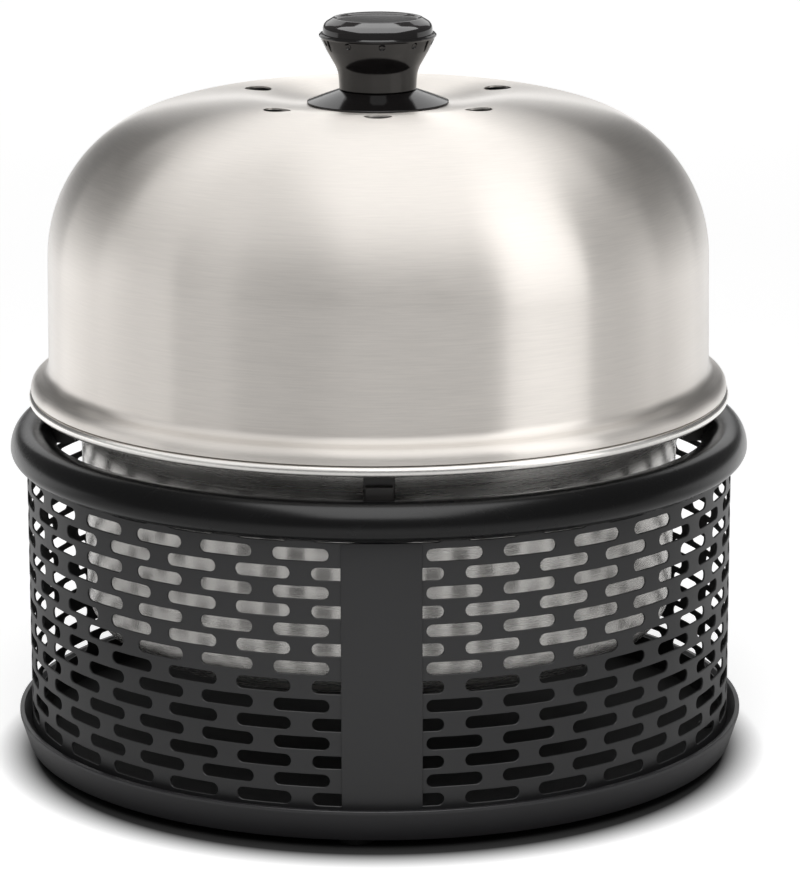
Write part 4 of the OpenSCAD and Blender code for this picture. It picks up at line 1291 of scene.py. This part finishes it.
class GRILL_OT_make_lid(bpy.types.Operator):
    """Makes the brushed domed lid with its flared rim and vent holes"""

    bl_idname = "grill.make_lid"
    bl_label = "Lid"

    def execute(self, context):
        lid, colours = context.scene.grill_lid, context.scene.grill_finishes
        shoulder = Vector((lid.wall_radius - lid.shoulder_radius, lid.shoulder_height))
        slope = Vector((math.cos(lid.hand_over), math.sin(lid.hand_over)))
        crown = shoulder + (lid.shoulder_radius - lid.crown_radius) * slope
        crest = Vector((crown.x, crown.y + lid.crown_radius))
        dish_edge = lid.skirt_radius + 1.5 * MM
        rim_top = lid.rim_low + lid.rim_height
        dish = [(crest.x + (dish_edge - crest.x) * k / 18,
            crest.y - lid.dish * math.sin(math.pi * k / 36) ** 2) for k in range(1, 19)]
        dome = ([(lid.foot_radius, rim_top)] + arc(shoulder, lid.shoulder_radius, 0, lid.hand_over, 44)
                + arc(crown, lid.crown_radius, lid.hand_over, math.pi / 2, 14)[1:] + dish
                + [(lid.screw_radius + PLAY, crest.y - lid.dish)])
        inside = beside(dome, lid.sheet)[::-1]
        edge_top = lid.rim_low + lid.edge_height
        rim = rounded([
            (lid.lip_radius, lid.lip_low), (lid.lip_radius, lid.rim_low),
            (lid.rim_radius, lid.rim_low, 0.4 * MM),
            (lid.rim_radius, edge_top, 6 * MM), (lid.foot_radius, rim_top, 5 * MM), dome[1]], 12)[:-1]
        lip_inside = lid.lip_radius - lid.sheet
        fall = (rim_top - edge_top) / (lid.rim_radius - lid.foot_radius)
        rim_inside = rounded([inside[-1],
            (lip_inside, rim_top - (lip_inside - lid.foot_radius) * fall - 1.2 * lid.sheet, 1 * MM),
            (lip_inside, lid.lip_low)])[1:]
        piece = turned("brushed_lid", rim + dome[1:] + inside + rim_inside, 288)
        finish = steel("Brushed lid steel", colours.lid_steel, 1500.0, 9.0, (0.29, 0.37), 1.0, 0.07, 0.06)
        punched(piece, lid.vents, lid.vent_radius, lid.vent_circle, crest.y, 30 * MM, finish,
                first=lid.vent_first, step=lid.vent_step)
        settle(smooth(piece), "lid", "brushed_lid", "lid_shell", finish=finish)
        return {"FINISHED"}


class GRILL_OT_make_knob(bpy.types.Operator):
    """Makes the heat skirt, the waisted knob with its dimples and the cap"""

    bl_idname = "grill.make_knob"
    bl_label = "Knob"

    def execute(self, context):
        lid, colours = context.scene.grill_lid, context.scene.grill_finishes
        hole = lid.screw_radius + PLAY
        foot, top = low("knob_skirt"), high("knob_skirt")
        edge, neck = lid.skirt_radius, lid.waist_radius + PLAY
        skirt = turned("heat_skirt", rounded([
            (hole, foot), (8 * MM, foot), (8 * MM, top - 1.5 * MM), (neck - 1 * MM, top - 1.5 * MM),
            (edge - 1.6 * MM, foot), (edge, foot, 0.3 * MM), (edge, foot + 0.9 * MM, 0.35 * MM),
            (neck, top, 0.4 * MM), (hole, top)]), 192)
        settle(smooth(skirt), "lid", "knob_skirt_black", "knob_skirt", finish=moulding(
            "Skirt plastic", colours.knob_plastic, (0.10, 0.15), 900.0, 30.0, 0.02, 0.2, 0.5, 0.08))

        body, rim, waist = low("knob_body"), lid.knob_radius, lid.waist_radius
        cap_low = high("knob_body")
        level = cap_low - lid.grip_height / 2 + 0.3 * MM
        grip = rim - lid.grip_inset
        outside = rounded([
            (waist - 0.6 * MM, body), (waist, body + 0.6 * MM, 0.4 * MM),
            (waist + 0.5 * MM, body + lid.waist_height, 14 * MM),
            (grip - 2.6 * MM, cap_low - lid.grip_height, 7 * MM), (grip, cap_low - 1.8 * MM, 0.4 * MM),
            (rim, cap_low - 1.2 * MM, 0.3 * MM), (rim, cap_low - 0.6 * MM, 0.25 * MM),
            (rim - 0.6 * MM, cap_low)], 12)
        fine = [outside[0]]
        for a, b in zip(outside, outside[1:]):
            span = (Vector(b) - Vector(a)).length
            near = min(a[1], b[1]) < level + 2 * MM and max(a[1], b[1]) > level - 2 * MM
            pieces = max(1, round(span / (0.12 * MM))) if near else 1
            fine += [tuple(Vector(a).lerp(Vector(b), k / pieces)) for k in range(1, pieces + 1)]
        bore = waist - 4.9 * MM
        knob = turned("waisted_knob", [(4.1 * MM, body)] + fine + [
            (bore, cap_low), (bore, cap_low - 4.2 * MM), (0, cap_low - 4.2 * MM), (0, body + 14 * MM),
            (4.1 * MM, body + 14 * MM)], 640)
        gloss = moulding("Knob plastic", colours.knob_plastic, (0.07, 0.11), 700.0, 26.0, 0.02, 0.2, 0.55,
            0.06)
        grown(knob, tree_of_dimples(), Count=lid.dimples, Turn=lid.dimple_turn, Level=level,
            Circle=grip - 0.8 * MM,
              Dimple_radius=lid.dimple_radius, Depth=lid.dimple_depth, Finish=gloss)
        settle(smooth(knob, 40), "lid", "knob_black", "knob_body", finish=gloss)

        cap_top, plug = high("knob_cap"), low("knob_cap")
        wide, recess = rim - 1.6 * MM, lid.recess_radius
        rise = cap_top - cap_low
        cap = turned("knob_cap_cover", rounded([
            (0, plug), (waist - 5 * MM, plug), (waist - 5 * MM, cap_low), (wide, cap_low),
            (wide - 0.3 * MM, cap_low + 0.6 * rise, 4 * MM),
            (recess + 1 * MM, cap_top, 1.2 * MM), (recess, cap_top - 0.5 * MM, 0.3 * MM),
            (recess - 0.4 * MM, cap_top - 1 * MM, 0.3 * MM),
            (0, cap_top - 1 * MM)], 12), 192)
        settle(smooth(cap), "lid", "knob_cap_black", "knob_cap", finish=moulding(
            "Cap plastic", colours.knob_plastic, (0.07, 0.1), 700.0, 30.0, 0.02, 0.2, 0.8, 0.06))
        return {"FINISHED"}


class GRILL_OT_make_fixings(bpy.types.Operator):
    """Makes the knob's threaded insert, its screw and the washer under the lid"""

    bl_idname = "grill.make_fixings"
    bl_label = "Knob fixings"

    def execute(self, context):
        lid, colours = context.scene.grill_lid, context.scene.grill_finishes
        bore, bottom, top = lid.screw_radius, low("knob_insert"), high("knob_insert")
        ridges = []
        for k in range(13):
            z = bottom + (top - bottom) * k / 12
            ridges.append((4 * MM - (0.35 * MM if k % 2 else 0), z))
        insert = turned("threaded_insert", [(bore, bottom)] + ridges + [(bore, top)], 48)
        settle(smooth(insert), "lid", "brass", "knob_insert",
            finish=steel("Insert brass", colours.brass, 3000.0, 3.0, (0.3, 0.4)))
        head, tip, r = low("knob_screw"), high("knob_screw"), bore - 0.05 * MM
        screw = turned("knob_socket_screw",
            [(0, head + 1.8 * MM), (1.5 * MM, head + 1.8 * MM, 6), (1.5 * MM, head + 0.1 * MM, 6)] + rounded([
            (2.2 * MM, head), (2 * r, head, 1.5 * MM), (2 * r, head + 3 * MM), (r, head + 3 * MM),
            (r, tip - 1 * MM), (r - 0.8 * MM, tip), (0, tip)]), 48)
        settle(smooth(screw), "lid", "fastener_steel", "knob_screw",
            finish=steel("Knob screw steel", colours.plain_steel, 3000.0, 3.0, (0.25, 0.36)))
        low_face, top_face, wide = low("lid_washer"), high("lid_washer"), reach("lid_washer")
        hole = bore + PLAY
        washer = turned("lid_wide_washer", rounded([
            (hole, low_face, 0.2 * MM), (wide, low_face, 0.3 * MM), (wide, top_face, 0.2 * MM),
            (hole, top_face, 0.2 * MM)], 4), 96)
        settle(smooth(washer), "lid", "fastener_steel", "lid_washer",
            finish=steel("Washer steel", colours.plain_steel, 2200.0, 4.0, (0.28, 0.4), 0.4))
        return {"FINISHED"}


class GRILL_PT_pieces(bpy.types.Panel):
    """Lists the operators and the sizes"""

    bl_idname = "GRILL_PT_pieces"
    bl_label = "Charcoal grill"
    bl_space_type = "VIEW_3D"
    bl_region_type = "UI"
    bl_category = "Grill"

    def draw(self, context):
        column = self.layout.column(align=True)
        for maker in MAKERS:
            column.operator(maker.bl_idname)
        for label, group in GROUPS.items():
            box = self.layout.box()
            box.label(text=label.replace("grill_", "").capitalize())
            for key in group.__annotations__:
                box.prop(getattr(context.scene, label), key)


MAKERS = (
    GRILL_OT_make_feet, GRILL_OT_make_tray, GRILL_OT_make_shell, GRILL_OT_make_strap,
    GRILL_OT_make_ring, GRILL_OT_make_lugs, GRILL_OT_make_bowl, GRILL_OT_make_firebox, GRILL_OT_make_basket,
    GRILL_OT_make_plate, GRILL_OT_make_lid, GRILL_OT_make_knob, GRILL_OT_make_fixings, GRILL_OT_make_stage,
)
GROUPS = {
    "grill_base": GrillBaseSizes, "grill_bowl": GrillBowlSizes, "grill_lid": GrillLidSizes,
    "grill_finishes": GrillFinishes, "grill_studio": GrillStudio,
}


def register():
    for kind in (*GROUPS.values(), *MAKERS, GRILL_PT_pieces):
        bpy.utils.register_class(kind)
    for label, group in GROUPS.items():
        setattr(bpy.types.Scene, label, PointerProperty(type=group))


def unregister():
    for label in GROUPS:
        delattr(bpy.types.Scene, label)
    for kind in reversed((*GROUPS.values(), *MAKERS, GRILL_PT_pieces)):
        bpy.utils.unregister_class(kind)


def main():
    register()
    bpy.ops.grill.make_feet()
    bpy.ops.grill.make_tray()
    bpy.ops.grill.make_shell()
    bpy.ops.grill.make_strap()
    bpy.ops.grill.make_ring()
    bpy.ops.grill.make_lugs()
    bpy.ops.grill.make_bowl()
    bpy.ops.grill.make_firebox()
    bpy.ops.grill.make_basket()
    bpy.ops.grill.make_plate()
    bpy.ops.grill.make_lid()
    bpy.ops.grill.make_knob()
    bpy.ops.grill.make_fixings()
    bpy.ops.grill.make_stage()


if __name__ == "__main__":
    main()
